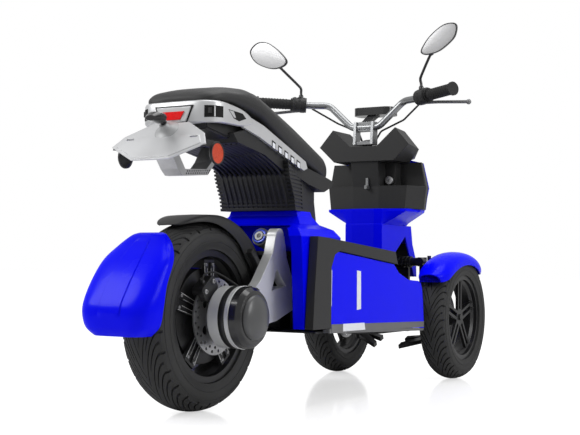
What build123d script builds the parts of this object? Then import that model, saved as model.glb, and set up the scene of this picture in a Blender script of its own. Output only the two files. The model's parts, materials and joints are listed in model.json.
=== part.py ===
"""Three-wheeled electric scooter: two steered wheels in front, a hub-motor wheel behind.

Millimetres and degrees. +Y is forward, +X is the rider's right, +Z is up, and the origin is on the
ground, in the middle of the whole length and width. The suspension is shown at its parked height.
"""

import math
import os

from build123d import *

# Driving dimensions of the whole vehicle
wheelbase = 1185.0
track = 424.0
mudguard_reach = 335.0  # from the rear axle back to the mudguard's tip
rake = 20.0  # of the steering axis and the kingpins, from the vertical
clearance = 0.3  # between two pieces that touch
running_clearance = 0.05  # on the radius of a shaft in its bore
overrun = 5.0  # by which every cut runs past what it cuts
sheet = 4.0  # wall of the moulded body panels

# Wheels
rear_tyre_r = 236.5
rear_tyre_w = 122.0
rear_tyre_h = 84.0  # height of the section above its seat
rear_seat_r = rear_tyre_r - rear_tyre_h
rear_rim_half = 45.0
front_tyre_r = 200.0
front_tyre_w = 90.0
front_tyre_h = 73.0
front_seat_r = front_tyre_r - front_tyre_h
front_rim_half = 31.0
bead_h = 12.0
rim_t = 4.0
rim_drop = 9.0

# Places that follow from the driving dimensions
rear_axle_y = (mudguard_reach - wheelbase - front_tyre_r) / 2
front_axle_y = rear_axle_y + wheelbase
rear_axle = (0, rear_axle_y, rear_tyre_r)
wheel_x = track / 2
sin_rake = math.sin(math.radians(rake))
cos_rake = math.cos(math.radians(rake))
X_DIR = (1, 0, 0)
axis_up = (0, -sin_rake, cos_rake)  # the steering axis, upwards and back
arm_back = (0, -cos_rake, -sin_rake)  # square to it, backwards

# Body: the tub that carries the batteries, the column under the seat, the fairing in front
body_half = 222.0
body_floor = 187.0
deck_z = 402.0
seat_crown_z = 825.0


def station(forward):
    """The y of a point so far forward of the rear axle."""
    return rear_axle_y + forward


def spread(table, start, length, base, height):
    """Turns rows of (share of length, share of height) into points (y, z)."""
    return [(start + a * length, base + b * height) for a, b in table]


def side_points(table):
    """Rows of (share of the wheelbase ahead of the rear axle, share of the seat's height) as (y, z)."""
    return spread(table, rear_axle_y, wheelbase, 0, seat_crown_z)


def plan_points(table):
    """Rows of (share of the body's half width, share of the wheelbase), and their mirror image."""
    right = [(a * body_half, station(b * wheelbase)) for a, b in table]
    return right + [(-x, y) for x, y in reversed(right)]


def rear_points(table):
    """Rows of (share of the body's half width, share of the seat's height), and their mirror image."""
    right = [(a * body_half, b * seat_crown_z) for a, b in table]
    return right + [(-x, z) for x, z in reversed(right)]


def across(forward):
    """The plane across the vehicle at a station, with local axes (x, z)."""
    return Plane(origin=(0, station(forward), 0), x_dir=X_DIR, z_dir=(0, -1, 0))


def side_sketch(x):
    """The plane of a side view, so far to the right, with local axes (y, z)."""
    return Plane.YZ.offset(x)


def wheel_plane(centre):
    """The plane of a wheel's cross-section, with local axes (x, z)."""
    return Plane(origin=centre, x_dir=X_DIR, z_dir=(0, -1, 0))


def finish(piece, name):
    """Labels a finished piece and writes it."""
    piece.part.label = name
    export_step(piece.part, f"parts/{name}.step")


def both_sides(piece, name):
    """Writes the right piece and its mirror image on the left."""
    finish(piece, name + "_right")
    with BuildPart() as other:
        add(mirror(piece.part, about=Plane.YZ))
    finish(other, name + "_left")


def pair(piece, name):
    """Writes the right piece and its mirror image as one node."""
    with BuildPart() as two:
        add(piece.part)
        add(mirror(piece.part, about=Plane.YZ))
    finish(two, name)


def union(name, *pieces):
    """Writes several pieces of one moulding or casting as one node."""
    with BuildPart() as whole:
        for piece in pieces:
            add(piece.part)
    finish(whole, name)
    return whole


os.makedirs("parts", exist_ok=True)

# Tyres
tyre_shares = ((0.24, 1.0), (0.38, 0.90), (0.46, 0.72), (0.50, 0.46))  # half width, section height


def build_tyre(centre, outer_r, width, seat_r, rim_half):
    """A filled tyre section turned about the axle."""
    section = outer_r - seat_r
    bead = rim_half - clearance
    wall = [(a * width, seat_r + b * section) for a, b in tyre_shares]
    right = wall + [(bead, seat_r + bead_h), (bead, seat_r)]
    with BuildPart() as tyre:
        with BuildSketch(wheel_plane(centre)):
            with BuildLine():
                Polyline(*right, *[(-x, z) for x, z in reversed(right)], close=True)
            make_face()
        revolve(axis=Axis(centre, X_DIR))
    return tyre


def rim_profile(seat_r, rim_half):
    """The drop-centre rim's section, in wheel-plane axes."""
    seat = seat_r - clearance
    flange = seat + bead_h - clearance
    outer = rim_half + rim_t
    ledge = rim_half * 0.75
    well = rim_half * 0.5
    top = [(-outer, flange), (-rim_half, flange), (-rim_half, seat), (-ledge, seat), (-well, seat - rim_drop)]
    low = [(-well, seat - rim_drop - rim_t), (-ledge, seat - rim_t), (-outer, seat - rim_t)]
    ring = top + [(-x, z) for x, z in reversed(top)]
    return ring + [(-x, z) for x, z in reversed(low)] + low


# Rear wheel: hub motor, cast rim with five double arms, tyre, brake disc
motor_r = 118.0
motor_half = 33.0
motor_step_r = 92.0
motor_step_w = 5.0
axle_r = 14.0
hub_r = 44.0
arm_count = 5
arm_w_in = 30.0
arm_w_out = 44.0
arm_t = 10.0
arm_groove_w = 14.0
arm_groove_depth = 5.0
disc_x = 62.0
disc_t = 4.0
disc_r = 95.0
disc_inner_r = 66.0
disc_hole_r = 4.0
disc_hole_rows = ((0.80, 20, 0.0), (0.91, 20, 9.0))  # share of the radius, count, start angle

rear_tyre = build_tyre(rear_axle, rear_tyre_r, rear_tyre_w, rear_seat_r, rear_rim_half)
finish(rear_tyre, "rear_tyre")

with BuildPart() as rear_motor:
    with BuildSketch(wheel_plane(rear_axle)):
        with BuildLine():
            Polyline(
                (-motor_half, axle_r + running_clearance),
                (-motor_half, motor_step_r),
                (-motor_half + motor_step_w, motor_r),
                (motor_half - motor_step_w, motor_r),
                (motor_half, motor_step_r),
                (motor_half, axle_r + running_clearance),
                close=True,
            )
        make_face()
    revolve(axis=Axis(rear_axle, X_DIR))
finish(rear_motor, "rear_hub_motor")

arm_base = motor_half + clearance
arm_reach = rear_seat_r - rim_drop - rim_t
with BuildPart() as rear_rim:
    with BuildSketch(wheel_plane(rear_axle)):
        with BuildLine():
            Polyline(*rim_profile(rear_seat_r, rear_rim_half), close=True)
        make_face()
    revolve(axis=Axis(rear_axle, X_DIR))
    for side in (1, -1):
        face = Plane(origin=(side * arm_base, rear_axle_y, rear_tyre_r), x_dir=(0, side, 0), z_dir=(side, 0, 0))
        with BuildSketch(face):
            Circle(hub_r)
            with PolarLocations(0, arm_count, start_angle=90):
                Polygon(
                    (0, -arm_w_in / 2), (arm_reach, -arm_w_out / 2), (arm_reach, arm_w_out / 2), (0, arm_w_in / 2),
                    align=None,
                )
            Circle(axle_r + running_clearance, mode=Mode.SUBTRACT)
        extrude(amount=arm_t)
        with BuildSketch(face.offset(arm_t - arm_groove_depth)):
            with PolarLocations(0, arm_count, start_angle=90):
                with Locations(((hub_r + arm_reach) / 2, 0)):
                    Rectangle((arm_reach - hub_r) * 0.86, arm_groove_w)
        extrude(amount=arm_groove_depth + overrun, mode=Mode.SUBTRACT)
    with BuildSketch(Plane(origin=(arm_base + arm_t, rear_axle_y, rear_tyre_r), x_dir=(0, 1, 0), z_dir=X_DIR)):
        Circle(hub_r)
        Circle(axle_r + running_clearance, mode=Mode.SUBTRACT)
    extrude(amount=disc_x - disc_t / 2 - clearance - arm_base - arm_t)
    with BuildSketch(side_sketch(-arm_base)):
        with Locations((rear_axle_y, rear_tyre_r)):
            with PolarLocations(0, arm_count, start_angle=90):
                Polygon(
                    (motor_r + clearance, -arm_w_out / 4), (arm_reach, -arm_w_out / 4),
                    (arm_reach, arm_w_out / 4), (motor_r + clearance, arm_w_out / 4),
                    align=None,
                )
    extrude(amount=arm_base * 2)
finish(rear_rim, "rear_rim")

with BuildPart() as rear_disc:
    with BuildSketch(side_sketch(disc_x - disc_t / 2)):
        with Locations((rear_axle_y, rear_tyre_r)):
            Circle(disc_r)
            Circle(axle_r + running_clearance, mode=Mode.SUBTRACT)
            for radius_share, count, start in disc_hole_rows:
                with PolarLocations(disc_r * radius_share, count, start_angle=start):
                    Circle(disc_hole_r, mode=Mode.SUBTRACT)
            with PolarLocations((hub_r + disc_inner_r) / 2, arm_count):
                Circle((disc_inner_r - hub_r) / 2, mode=Mode.SUBTRACT)
    extrude(amount=disc_t)
finish(rear_disc, "rear_brake_disc")

# Rear carrier, its cover and the fixed axle that the hub motor turns on
carrier_x = 84.0
carrier_end_x = 147.0
carrier_r = 76.0
carrier_wall = 7.0
neck_x = (119.0, 137.0)
neck_depth = 11.0
axle_left_x = -92.0
cover_depth = 50.0
cover_shares = (  # depth, radius
    (0.0, 0.97), (0.05, 1.0), (0.40, 0.98), (0.62, 0.86), (0.64, 0.72), (0.76, 0.69), (0.88, 0.55), (0.97, 0.31),
    (1.0, 0.10),
)

with BuildPart() as carrier:
    with BuildSketch(wheel_plane(rear_axle)):
        with BuildLine():
            Polyline(
                (axle_left_x, 0), (axle_left_x, axle_r), (carrier_x, axle_r), (carrier_x, carrier_r - carrier_wall),
                (carrier_x + carrier_wall, carrier_r), (neck_x[0], carrier_r), (neck_x[0], carrier_r - neck_depth),
                (neck_x[1], carrier_r - neck_depth), (neck_x[1], carrier_r), (carrier_end_x, carrier_r),
                (carrier_end_x, 0),
                close=True,
            )
        make_face()
    revolve(axis=Axis(rear_axle, X_DIR))

with BuildPart() as cover:
    with BuildSketch(wheel_plane(rear_axle)):
        start = carrier_end_x + clearance
        edge = [(start + a * cover_depth, b * carrier_r) for a, b in cover_shares]
        with BuildLine():
            Polyline((start, 0), *edge, (start + cover_depth, 0), close=True)
        make_face()
    revolve(axis=Axis(rear_axle, X_DIR))
finish(cover, "hub_cover")

# Brake caliper over the disc, on the carrier's back
caliper_angle = 128.0  # round from forward, upwards
caliper_r = 88.0
caliper_length = 62.0
caliper_depth = 40.0
caliper_left = 53.0
caliper_slot = disc_t + 2 * 3.0
with BuildPart() as caliper:
    tilt = Plane(origin=(0, rear_axle_y, rear_tyre_r), x_dir=(0, math.cos(math.radians(caliper_angle)),
                 math.sin(math.radians(caliper_angle))), z_dir=X_DIR)
    with BuildSketch(tilt.offset(caliper_left)):
        with Locations((caliper_r, 0)):
            RectangleRounded(caliper_depth, caliper_length, caliper_depth / 5)
    extrude(amount=carrier_x - caliper_left - clearance)
    with BuildSketch(tilt.offset(disc_x - caliper_slot / 2)):
        Circle(disc_r + 3 * clearance + disc_t / 2)
    extrude(amount=caliper_slot, mode=Mode.SUBTRACT)
    with BuildSketch(tilt.offset(carrier_x - clearance)):
        with Locations((caliper_r - caliper_depth / 2, 0)):
            Rectangle(caliper_depth / 2, caliper_length / 2)
    extrude(amount=-(carrier_x - disc_x - caliper_slot / 2 - clearance))
finish(caliper, "rear_brake_caliper")

# Single-sided swingarm: a truss plate from the carrier forward to its pivot, and up to the damper
swing_x = 90.0
swing_t = 27.0
pivot_forward = 345.0
pivot_z = 285.0
pivot_r = 22.0
eye_forward = 218.0
eye_z = 440.0
eye_r = 20.0
swing_outline_shares = (  # share of the pivot's reach, share of the eye's height above the axle
    (0.10, 0.10), (0.35, 0.42), (0.53, 0.78), (0.57, 1.0), (0.70, 1.0), (0.74, 0.72),
    (0.86, 0.36), (1.0, 0.34), (1.03, 0.14), (0.87, 0.06), (0.60, -0.08), (0.10, -0.20),
)
swing_window_shares = ((0.59, 0.58), (0.73, 0.36), (0.52, 0.30))
pivot_half = 100.0


def swing_points(table):
    return spread(table, rear_axle_y, pivot_forward, rear_tyre_r, eye_z - rear_tyre_r)


with BuildPart() as swingarm:
    with BuildSketch(side_sketch(swing_x)):
        Polygon(*swing_points(swing_outline_shares), align=None)
        with Locations((station(eye_forward), eye_z)):
            Circle(eye_r)
        with Locations((station(pivot_forward), pivot_z)):
            Circle(pivot_r + sheet)
        Polygon(*swing_points(swing_window_shares), align=None, mode=Mode.SUBTRACT)
        with Locations((rear_axle_y, rear_tyre_r)):
            Circle(carrier_r + clearance, mode=Mode.SUBTRACT)
    extrude(amount=swing_t)
    with BuildSketch(side_sketch(swing_x + swing_t)):
        with Locations((station(pivot_forward), pivot_z)):
            Circle(pivot_r)
    extrude(amount=-(swing_x + swing_t + pivot_half))
finish(swingarm, "swingarm")

# Hugger over the rear tyre, carried by the swingarm
hugger_gap = 13.5  # above the tread
hugger_r = rear_tyre_r + hugger_gap
hugger_half = 72.0
hugger_start = -8.0  # degrees above forward
hugger_end = 126.0
hugger_t = 3.0
skirt_rows = (  # angle, share of the hugger's radius at the skirt's lower edge
    (-8.0, 0.86), (12.0, 0.84), (25.0, 0.76), (39.0, 0.76), (50.0, 0.74), (65.0, 0.84), (82.0, 0.83), (97.0, 0.90),
    (112.0, 0.96), (125.0, 1.0),
)
hugger_plan_shares = (  # half width, station ahead of the axle in radii
    (0.20, -0.66), (0.62, -0.50), (0.88, -0.32), (1.0, -0.10), (1.0, 0.30), (1.25, 0.45), (1.25, 1.10),
)
lug_angles = (10.0, 52.0)
lug_inner_share = 0.80
lug_outer_share = 0.86


def sector(centre, inner, outer, start, end):
    """The edges of a part of a ring, angles from forward upwards."""
    cy, cz = centre

    def at(radius, angle):
        return (cy + radius * math.cos(math.radians(angle)), cz + radius * math.sin(math.radians(angle)))

    middle = (start + end) / 2
    with BuildLine() as ring:
        far = ThreePointArc(at(outer, start), at(outer, middle), at(outer, end))
        close = Line(far @ 1, at(inner, end))
        near = ThreePointArc(close @ 1, at(inner, middle), at(inner, start))
        Line(near @ 1, far @ 0)
    return ring.edges()


def polar(centre, radius, rows):
    """Points from rows of (angle from forward, share of the radius)."""
    cy, cz = centre
    return [
        (cy + share * radius * math.cos(math.radians(angle)), cz + share * radius * math.sin(math.radians(angle)))
        for angle, share in rows
    ]


axle_side = (rear_axle_y, rear_tyre_r)
with BuildPart() as hugger:
    with BuildSketch(side_sketch(-hugger_half)):
        make_face(sector(axle_side, hugger_r, hugger_r + hugger_t, hugger_start, hugger_end))
    extrude(amount=hugger_half * 2)
    for x in (-hugger_half, hugger_half - hugger_t):
        with BuildSketch(side_sketch(x)):
            make_face(sector(axle_side, hugger_r / 2, hugger_r + hugger_t / 2, hugger_start, hugger_end))
            Polygon(*polar(axle_side, hugger_r, skirt_rows), axle_side, align=None, mode=Mode.SUBTRACT)
        extrude(amount=hugger_t)
    with BuildSketch(side_sketch(hugger_half)):
        make_face(sector(axle_side, hugger_r * lug_inner_share, hugger_r * lug_outer_share, *lug_angles))
    extrude(amount=swing_x - hugger_half - clearance)
    with BuildSketch(Plane.XY):
        right = [(a * hugger_half, station(b * hugger_r)) for a, b in hugger_plan_shares]
        Polygon(*right, *[(-x, y) for x, y in reversed(right)], align=None)
    extrude(amount=seat_crown_z, mode=Mode.INTERSECT)
finish(hugger, "hugger")

# Mudguard behind the rear wheel, with its stay round the left of the wheel
guard_t = 4.0
guard_section_shares = (  # back of the axle, half width, height, depth of the corners
    (0.1690, 0.230, 0.5230, 0.010), (0.1910, 0.345, 0.4930, 0.021), (0.2210, 0.440, 0.4500, 0.030),
    (0.2565, 0.468, 0.3840, 0.038), (mudguard_reach / wheelbase, 0.468, 0.3210, 0.058), (0.2790, 0.320, 0.2440, 0.044),
)
guard_corner_shares = ((1.0, 1.0), (0.97, 0.62), (0.88, 0.28), (0.72, 0.07), (0.50, 0.0))
guard_rib_share = 0.60
guard_rib_t = 3.0


def guard_outline(half, depth):
    """The outside of the mudguard in plan, from its right edge round to its left."""
    right = [(a * half, b * depth) for a, b in guard_corner_shares]
    return right + [(-x, y) for x, y in reversed(right)]


with BuildPart() as guard_fill:
    for back, half, height, depth in guard_section_shares:
        outer = guard_outline(half * body_half, depth * wheelbase)
        ahead = back * wheelbase
        with BuildSketch(Plane(origin=(0, station(-ahead), height * seat_crown_z))):
            Polygon(*outer, (-half * body_half, ahead), (half * body_half, ahead), align=None)
    loft(ruled=True)
with BuildPart() as mudguard:
    for back, half, height, depth in guard_section_shares:
        reach = half * body_half
        outer = guard_outline(reach, depth * wheelbase)
        inner = [(x * (1 - guard_t / reach), y + guard_t) for x, y in reversed(outer)]
        with BuildSketch(Plane(origin=(0, station(-back * wheelbase), height * seat_crown_z))):
            Polygon(*outer, *inner, align=None)
    loft(ruled=True)
with BuildPart() as guard_rib:
    for back, half, height, depth in guard_section_shares[1:-2]:
        rib = guard_corner_shares[-1][0] * guard_rib_share * half * body_half
        with BuildSketch(Plane(origin=(0, station(-back * wheelbase), height * seat_crown_z))):
            with Locations((0, guard_t / 2 - guard_rib_t / 2)):
                Rectangle(rib * 2, guard_t + guard_rib_t)
    loft(ruled=True)
union("rear_mudguard", mudguard, guard_rib)

stay_half = 9.0
stay_x = -80.0
stay_w = 34.0
with BuildPart() as stay:
    with BuildSketch(side_sketch(stay_x)):
        with Locations(axle_side):
            Circle(stay_w)
        Polygon(*side_points(((0.0, 0.262), (-0.2700, 0.375), (-0.2700, 0.415), (0.0, 0.305))), align=None)
    extrude(amount=stay_half)
    add(mudguard.part, mode=Mode.SUBTRACT)
with BuildPart() as stay_end:
    add(stay.part)
    add(guard_fill.part, mode=Mode.INTERSECT)
with BuildPart() as stay_start:
    add(stay.part)
    with BuildSketch(side_sketch(stay_x)):
        with Locations(axle_side):
            Circle(hugger_r * lug_outer_share)
    extrude(amount=stay_half, mode=Mode.INTERSECT)
union("hub_carrier", carrier, stay_start, stay_end)

# Body tub: side panels, trims, sills, deck, front wall, tray, rear cowl and the battery inside
panel_t = 12.0
tray_t = 5.0
trim_t = 20.0
side_panel_shares = (
    (0.2549, 0.2424), (0.2549, 0.4824), (0.2911, 0.4873), (0.5907, 0.4485), (0.6203, 0.4182),
    (0.6793, 0.3927), (0.7380, 0.3890), (0.7560, 0.3800), (0.7640, 0.3600), (0.7696, 0.3176), (0.7781, 0.2133),
)
side_trim_shares = (
    (0.1722, 0.2424), (0.1789, 0.3636), (0.1924, 0.5333), (0.2430, 0.5297), (0.5924, 0.4933), (0.6059, 0.4497),
    (0.2954, 0.4897), (0.2717, 0.4776), (0.2557, 0.4364), (0.2557, 0.2424),
)
sill_shares = ((0.2549, 0.2267), (0.7722, 0.2036), (0.7781, 0.2118), (0.2549, 0.2408))
deck_shares = (
    (0.2532, 0.4873), (0.5924, 0.4873), (0.6414, 0.4182), (0.6852, 0.3903), (0.7578, 0.3855),
    (0.7578, 0.3782), (0.6802, 0.3830), (0.6346, 0.4097), (0.5907, 0.4776), (0.2532, 0.4752),
)
mat_share = 0.80  # of the body's half width
mat_shares = ((0.4726, 0.4873), (0.5865, 0.4873), (0.5865, 0.4909), (0.4726, 0.4909))
wall_station = 890.0
wall_reach = 40.0
spine_half = 45.0
spine_z = 195.0
spine_h = 45.0
front_wall_shares = ((0.7527, 0.2424), (0.7637, 0.2424), (0.7511, 0.3760), (0.7400, 0.3760))

with BuildPart() as panel:
    with BuildSketch(side_sketch(body_half - panel_t)):
        Polygon(*side_points(side_panel_shares), align=None)
    extrude(amount=panel_t)
with BuildPart() as trim:
    with BuildSketch(side_sketch(body_half - trim_t)):
        Polygon(*side_points(side_trim_shares), align=None)
    extrude(amount=trim_t + sheet)
with BuildPart() as panel_cut:
    add(panel.part)
    add(trim.part, mode=Mode.SUBTRACT)
pair(panel_cut, "side_panels")
pair(trim, "side_trims")
with BuildPart() as sill:
    with BuildSketch(side_sketch(body_half - trim_t)):
        Polygon(*side_points(sill_shares), align=None)
    extrude(amount=trim_t)
pair(sill, "sills")

inner_half = body_half - trim_t - clearance
with BuildPart() as deck:
    with BuildSketch(side_sketch(-inner_half)):
        Polygon(*side_points(deck_shares), align=None)
    extrude(amount=inner_half * 2)
    with BuildSketch(side_sketch(-mat_share * body_half)):
        Polygon(*side_points(mat_shares), align=None)
    extrude(amount=mat_share * body_half * 2)
finish(deck, "floor_deck")
with BuildPart() as wall:
    with BuildSketch(side_sketch(-inner_half)):
        Polygon(*side_points(front_wall_shares), align=None)
    extrude(amount=inner_half * 2)
    with BuildSketch(across(wall_station)):
        Rectangle(spine_half * 2 + 2 * clearance, (spine_z + spine_h + clearance) * 2)
    extrude(amount=wall_reach, both=True, mode=Mode.SUBTRACT)

inner_wall = 440.0
with BuildPart() as inner_wall_piece:
    with BuildSketch(across(inner_wall)):
        with Locations((0, (body_floor + tray_t + deck_shares[-1][1] * seat_crown_z) / 2)):
            Rectangle(inner_half * 2, deck_shares[-1][1] * seat_crown_z - body_floor - tray_t - 2 * clearance)
        Rectangle(spine_half * 2 + 2 * clearance, (spine_z + spine_h + clearance) * 2, mode=Mode.SUBTRACT)
    extrude(amount=tray_t)
union("bulkheads", wall, inner_wall_piece)

battery_back = 445.0
battery_length = 285.0
battery_w = 300.0
battery_h = 105.0
battery_z = spine_z + spine_h + clearance
with BuildPart() as battery:
    with BuildSketch(Plane.XY.offset(battery_z)):
        with Locations((0, station(battery_back + battery_length / 2))):
            Rectangle(battery_w, battery_length)
    extrude(amount=battery_h)
finish(battery, "battery_pack")

# Frame: floor tray, spine to the front tower, and the brackets of the swingarm's pivot
tray_back = 262.0
tray_front = 890.0
spine_front_z = 148.0
spine_front_h = 56.0
spine_end = 1236.0
nose_start = 880.0
tower_back = 1168.0
tower_t = 14.0
tower_half = 58.0
tower_top = 440.0
bracket_t = 12.0
bracket_gap = 0.4
pivot_post = 60.0
rider_post_back = 408.0
rider_post_length = 48.0
with BuildPart() as frame:
    with BuildSketch(Plane.XY.offset(body_floor)):
        with Locations((0, station((tray_back + tray_front) / 2))):
            Rectangle(inner_half * 2, tray_front - tray_back)
    extrude(amount=tray_t)
    with BuildSketch(side_sketch(-spine_half)):
        Polygon(
            (station(pivot_forward), spine_z - tray_t), (station(nose_start), spine_z - tray_t),
            (station(nose_start + spine_half), spine_front_z), (station(spine_end), spine_front_z),
            (station(spine_end), spine_front_z + spine_front_h),
            (station(nose_start + spine_half), spine_front_z + spine_front_h),
            (station(nose_start), spine_z + spine_h), (station(pivot_forward), spine_z + spine_h),
            align=None,
        )
    extrude(amount=spine_half * 2)
    with BuildSketch(side_sketch(-tower_half)):
        with Locations((station(tower_back + tower_t / 2), (spine_front_z + tower_top) / 2)):
            Rectangle(tower_t, tower_top - spine_front_z)
    extrude(amount=tower_half * 2)
    for x in (-pivot_half - bracket_t, swing_x - bracket_t - bracket_gap):
        with BuildSketch(side_sketch(x)):
            with Locations((station(pivot_forward), pivot_z)):
                Circle(pivot_r + bracket_t)
            with Locations((station(pivot_forward + pivot_post / 2), (body_floor + pivot_z) / 2)):
                Rectangle(pivot_post, pivot_z - body_floor)
            with Locations((station(pivot_forward), pivot_z)):
                Circle(pivot_r + running_clearance, mode=Mode.SUBTRACT)
        extrude(amount=bracket_t)
    with BuildSketch(Plane.XY.offset(battery_z - spine_half)):
        for x in (-spine_half * 2, spine_half * 2):
            with Locations((x, station(rider_post_back))):
                Rectangle(spine_half / 2, rider_post_length)
    extrude(amount=deck_z - tray_t * 3 - battery_z + spine_half)
    with BuildSketch(Plane.XY.offset(body_floor)):
        for x in (-spine_half * 2, spine_half * 2):
            with Locations((x, station(rider_post_back))):
                Rectangle(spine_half / 2, rider_post_length)
    extrude(amount=battery_z - body_floor - spine_half)

# Rear cowl with its arch over the swingarm and damper
cowl_back = 190.0
cowl_depth = 130.0
cowl_shares = (  # half width, back, height, front
    (0.90, 0.1722, 0.2424, 0.2532), (0.90, 0.1600, 0.4878, 0.2532), (0.90, 0.1598, 0.4890, 0.3400),
    (0.90, 0.1560, 0.5333, 0.3400), (0.80, 0.1750, 0.5580, 0.3400), (0.60, 0.2500, 0.5760, 0.3400),
    (0.4950, 0.2720, 0.6030, 0.3400),
    (0.4700, 0.2734, 0.6200, 0.3400),
)
arch_x = 38.0
arch_half = 130.0
arch_top = 470.0
arch_corner = 56.0
with BuildPart() as cowl:
    for half, back, height, front in cowl_shares:
        with BuildSketch(Plane.XY.offset(height * seat_crown_z)):
            Polygon(
                (-half * body_half, station(back * wheelbase)), (half * body_half, station(back * wheelbase)),
                (half * body_half, station(front * wheelbase)), (-half * body_half, station(front * wheelbase)),
                align=None,
            )
    loft(ruled=True)
    with BuildSketch(across(cowl_back - cowl_depth)):
        with Locations((arch_x, 0)):
            RectangleRounded(arch_half * 2, arch_top * 2, arch_corner)
    extrude(amount=-cowl_depth * 2, mode=Mode.SUBTRACT)
finish(cowl, "rear_cowl")

# Seat column, tail cowl, seat base and seat
column_seat_shares = (  # half width at the back, back, half width in front, front, height
    (0.52, 0.2800, 0.30, 0.4440, 0.4885), (0.54, 0.2560, 0.28, 0.4370, 0.5700),
    (0.54, 0.2430, 0.28, 0.4230, 0.6600), (0.54, 0.2230, 0.30, 0.4160, 0.7180), (0.54, 0.2100, 0.30, 0.4160, 0.7900),
)
with BuildPart() as seat_column:
    for back_half, back, front_half, front, height in column_seat_shares:
        with BuildSketch(Plane.XY.offset(height * seat_crown_z + clearance)):
            Polygon(
                (-back_half * body_half, station(back * wheelbase)),
                (back_half * body_half, station(back * wheelbase)),
                (front_half * body_half, station(front * wheelbase)),
                (-front_half * body_half, station(front * wheelbase)),
                align=None,
            )
    loft(ruled=True)

seat_base_shares = (
    (-0.0735, 0.8824), (-0.0278, 0.8885), (0.0844, 0.8509), (0.2118, 0.7782), (0.2616, 0.7418), (0.3376, 0.7127),
    (0.4152, 0.6933), (0.4506, 0.7127), (0.4616, 0.7321), (0.4329, 0.7418), (0.3046, 0.7733), (0.2025, 0.8242),
    (0.0987, 0.8800), (-0.0278, 0.9152), (-0.0735, 0.8985),
)
base_half = 100.0
with BuildPart() as seat_base:
    with BuildSketch(side_sketch(-base_half)):
        Polygon(*side_points(seat_base_shares), align=None)
    extrude(amount=base_half * 2)
with BuildPart() as seat_column_cut:
    add(seat_column.part)
    with BuildSketch(side_sketch(-body_half)):
        Polygon(*side_points(seat_base_shares[2:7] + ((0.5, 0.68), (0.5, 1.0), (0.1, 1.0))), align=None)
    extrude(amount=body_half * 2, mode=Mode.SUBTRACT)
    add(cowl.part, mode=Mode.SUBTRACT)
    add(seat_base.part, mode=Mode.SUBTRACT)
    with BuildSketch(Plane.XY):
        with Locations((0, station(cowl_shares[-1][3] * wheelbase / 2))):
            Rectangle(body_half * 2, cowl_shares[-1][3] * wheelbase)
    extrude(amount=cowl_shares[-1][2] * seat_crown_z, mode=Mode.SUBTRACT)

tail_cowl_shares = (
    (0.2734, 0.6242), (0.2633, 0.6788), (0.2211, 0.7418), (0.1350, 0.7855), (0.0253, 0.8097),
    (0.0068, 0.8364), (0.0928, 0.8667), (0.2200, 0.8000), (0.2740, 0.7750), (0.2740, 0.6242),
)
tail_cowl_half = 104.0
with BuildPart() as tail_cowl:
    with BuildSketch(side_sketch(-tail_cowl_half)):
        Polygon(*side_points(tail_cowl_shares), align=None)
    extrude(amount=tail_cowl_half * 2)
    add(seat_column_cut.part, mode=Mode.SUBTRACT)
    add(seat_base.part, mode=Mode.SUBTRACT)
finish(tail_cowl, "tail_cowl")

# Ribs round the back of the seat column
rib_count = 12
rib_first = 0.6290
rib_step = 0.0125
rib_gap = 0.0055
rib_depth = 3.0
rib_front_share = 0.3100
with BuildPart() as rib_gaps:
    for i in range(rib_count):
        with BuildSketch(Plane.XY.offset((rib_first + i * rib_step) * seat_crown_z)):
            with Locations((0, station(rib_front_share * wheelbase / 2))):
                Rectangle(body_half * 2, rib_front_share * wheelbase)
        extrude(amount=rib_gap * seat_crown_z)
with BuildPart() as column_core:
    for back_half, back, front_half, front, height in column_seat_shares:
        with BuildSketch(Plane.XY.offset(height * seat_crown_z + clearance)):
            inside = back_half * body_half - rib_depth
            Polygon(
                (-inside, station(back * wheelbase) + rib_depth), (inside, station(back * wheelbase) + rib_depth),
                (front_half * body_half - rib_depth, station(front * wheelbase)),
                (-front_half * body_half + rib_depth, station(front * wheelbase)), align=None,
            )
    loft(ruled=True)
with BuildPart() as ribbed_column:
    add(rib_gaps.part)
    add(column_core.part, mode=Mode.SUBTRACT)
with BuildPart() as column_with_ribs:
    add(seat_column_cut.part)
    add(ribbed_column.part, mode=Mode.SUBTRACT)
union("seat_column", column_with_ribs, seat_base)

seat_section_shares = (  # station, half width, underside, crown
    (-0.0819, 0.252, 0.8994, 0.9236), (-0.0498, 0.419, 0.9115, 0.9576), (0.0000, 0.505, 0.9115, 0.9867),
    (0.0422, 0.550, 0.9018, 1.0000), (0.1207, 0.581, 0.8752, 0.9879), (0.2565, 0.550, 0.8000, 0.9297),
    (0.4042, 0.450, 0.7503, 0.8630), (0.4726, 0.351, 0.7321, 0.8364), (0.5063, 0.216, 0.7515, 0.8097),
)
seat_edge_share = 0.72
with BuildPart() as seat:
    for forward, half, under, crown in seat_section_shares:
        top = crown * seat_crown_z
        low = under * seat_crown_z + clearance
        side = half * body_half
        with BuildSketch(across(forward * wheelbase)):
            Polygon(
                (-side * 0.86, low), (side * 0.86, low), (side, low + (top - low) * 0.4),
                (side * seat_edge_share, top - (top - low) * 0.12), (side * 0.3, top), (-side * 0.3, top),
                (-side * seat_edge_share, top - (top - low) * 0.12), (-side, low + (top - low) * 0.4),
                align=None,
            )
    loft(ruled=True)
    add(seat_base.part, mode=Mode.SUBTRACT)
finish(seat, "seat")

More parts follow.
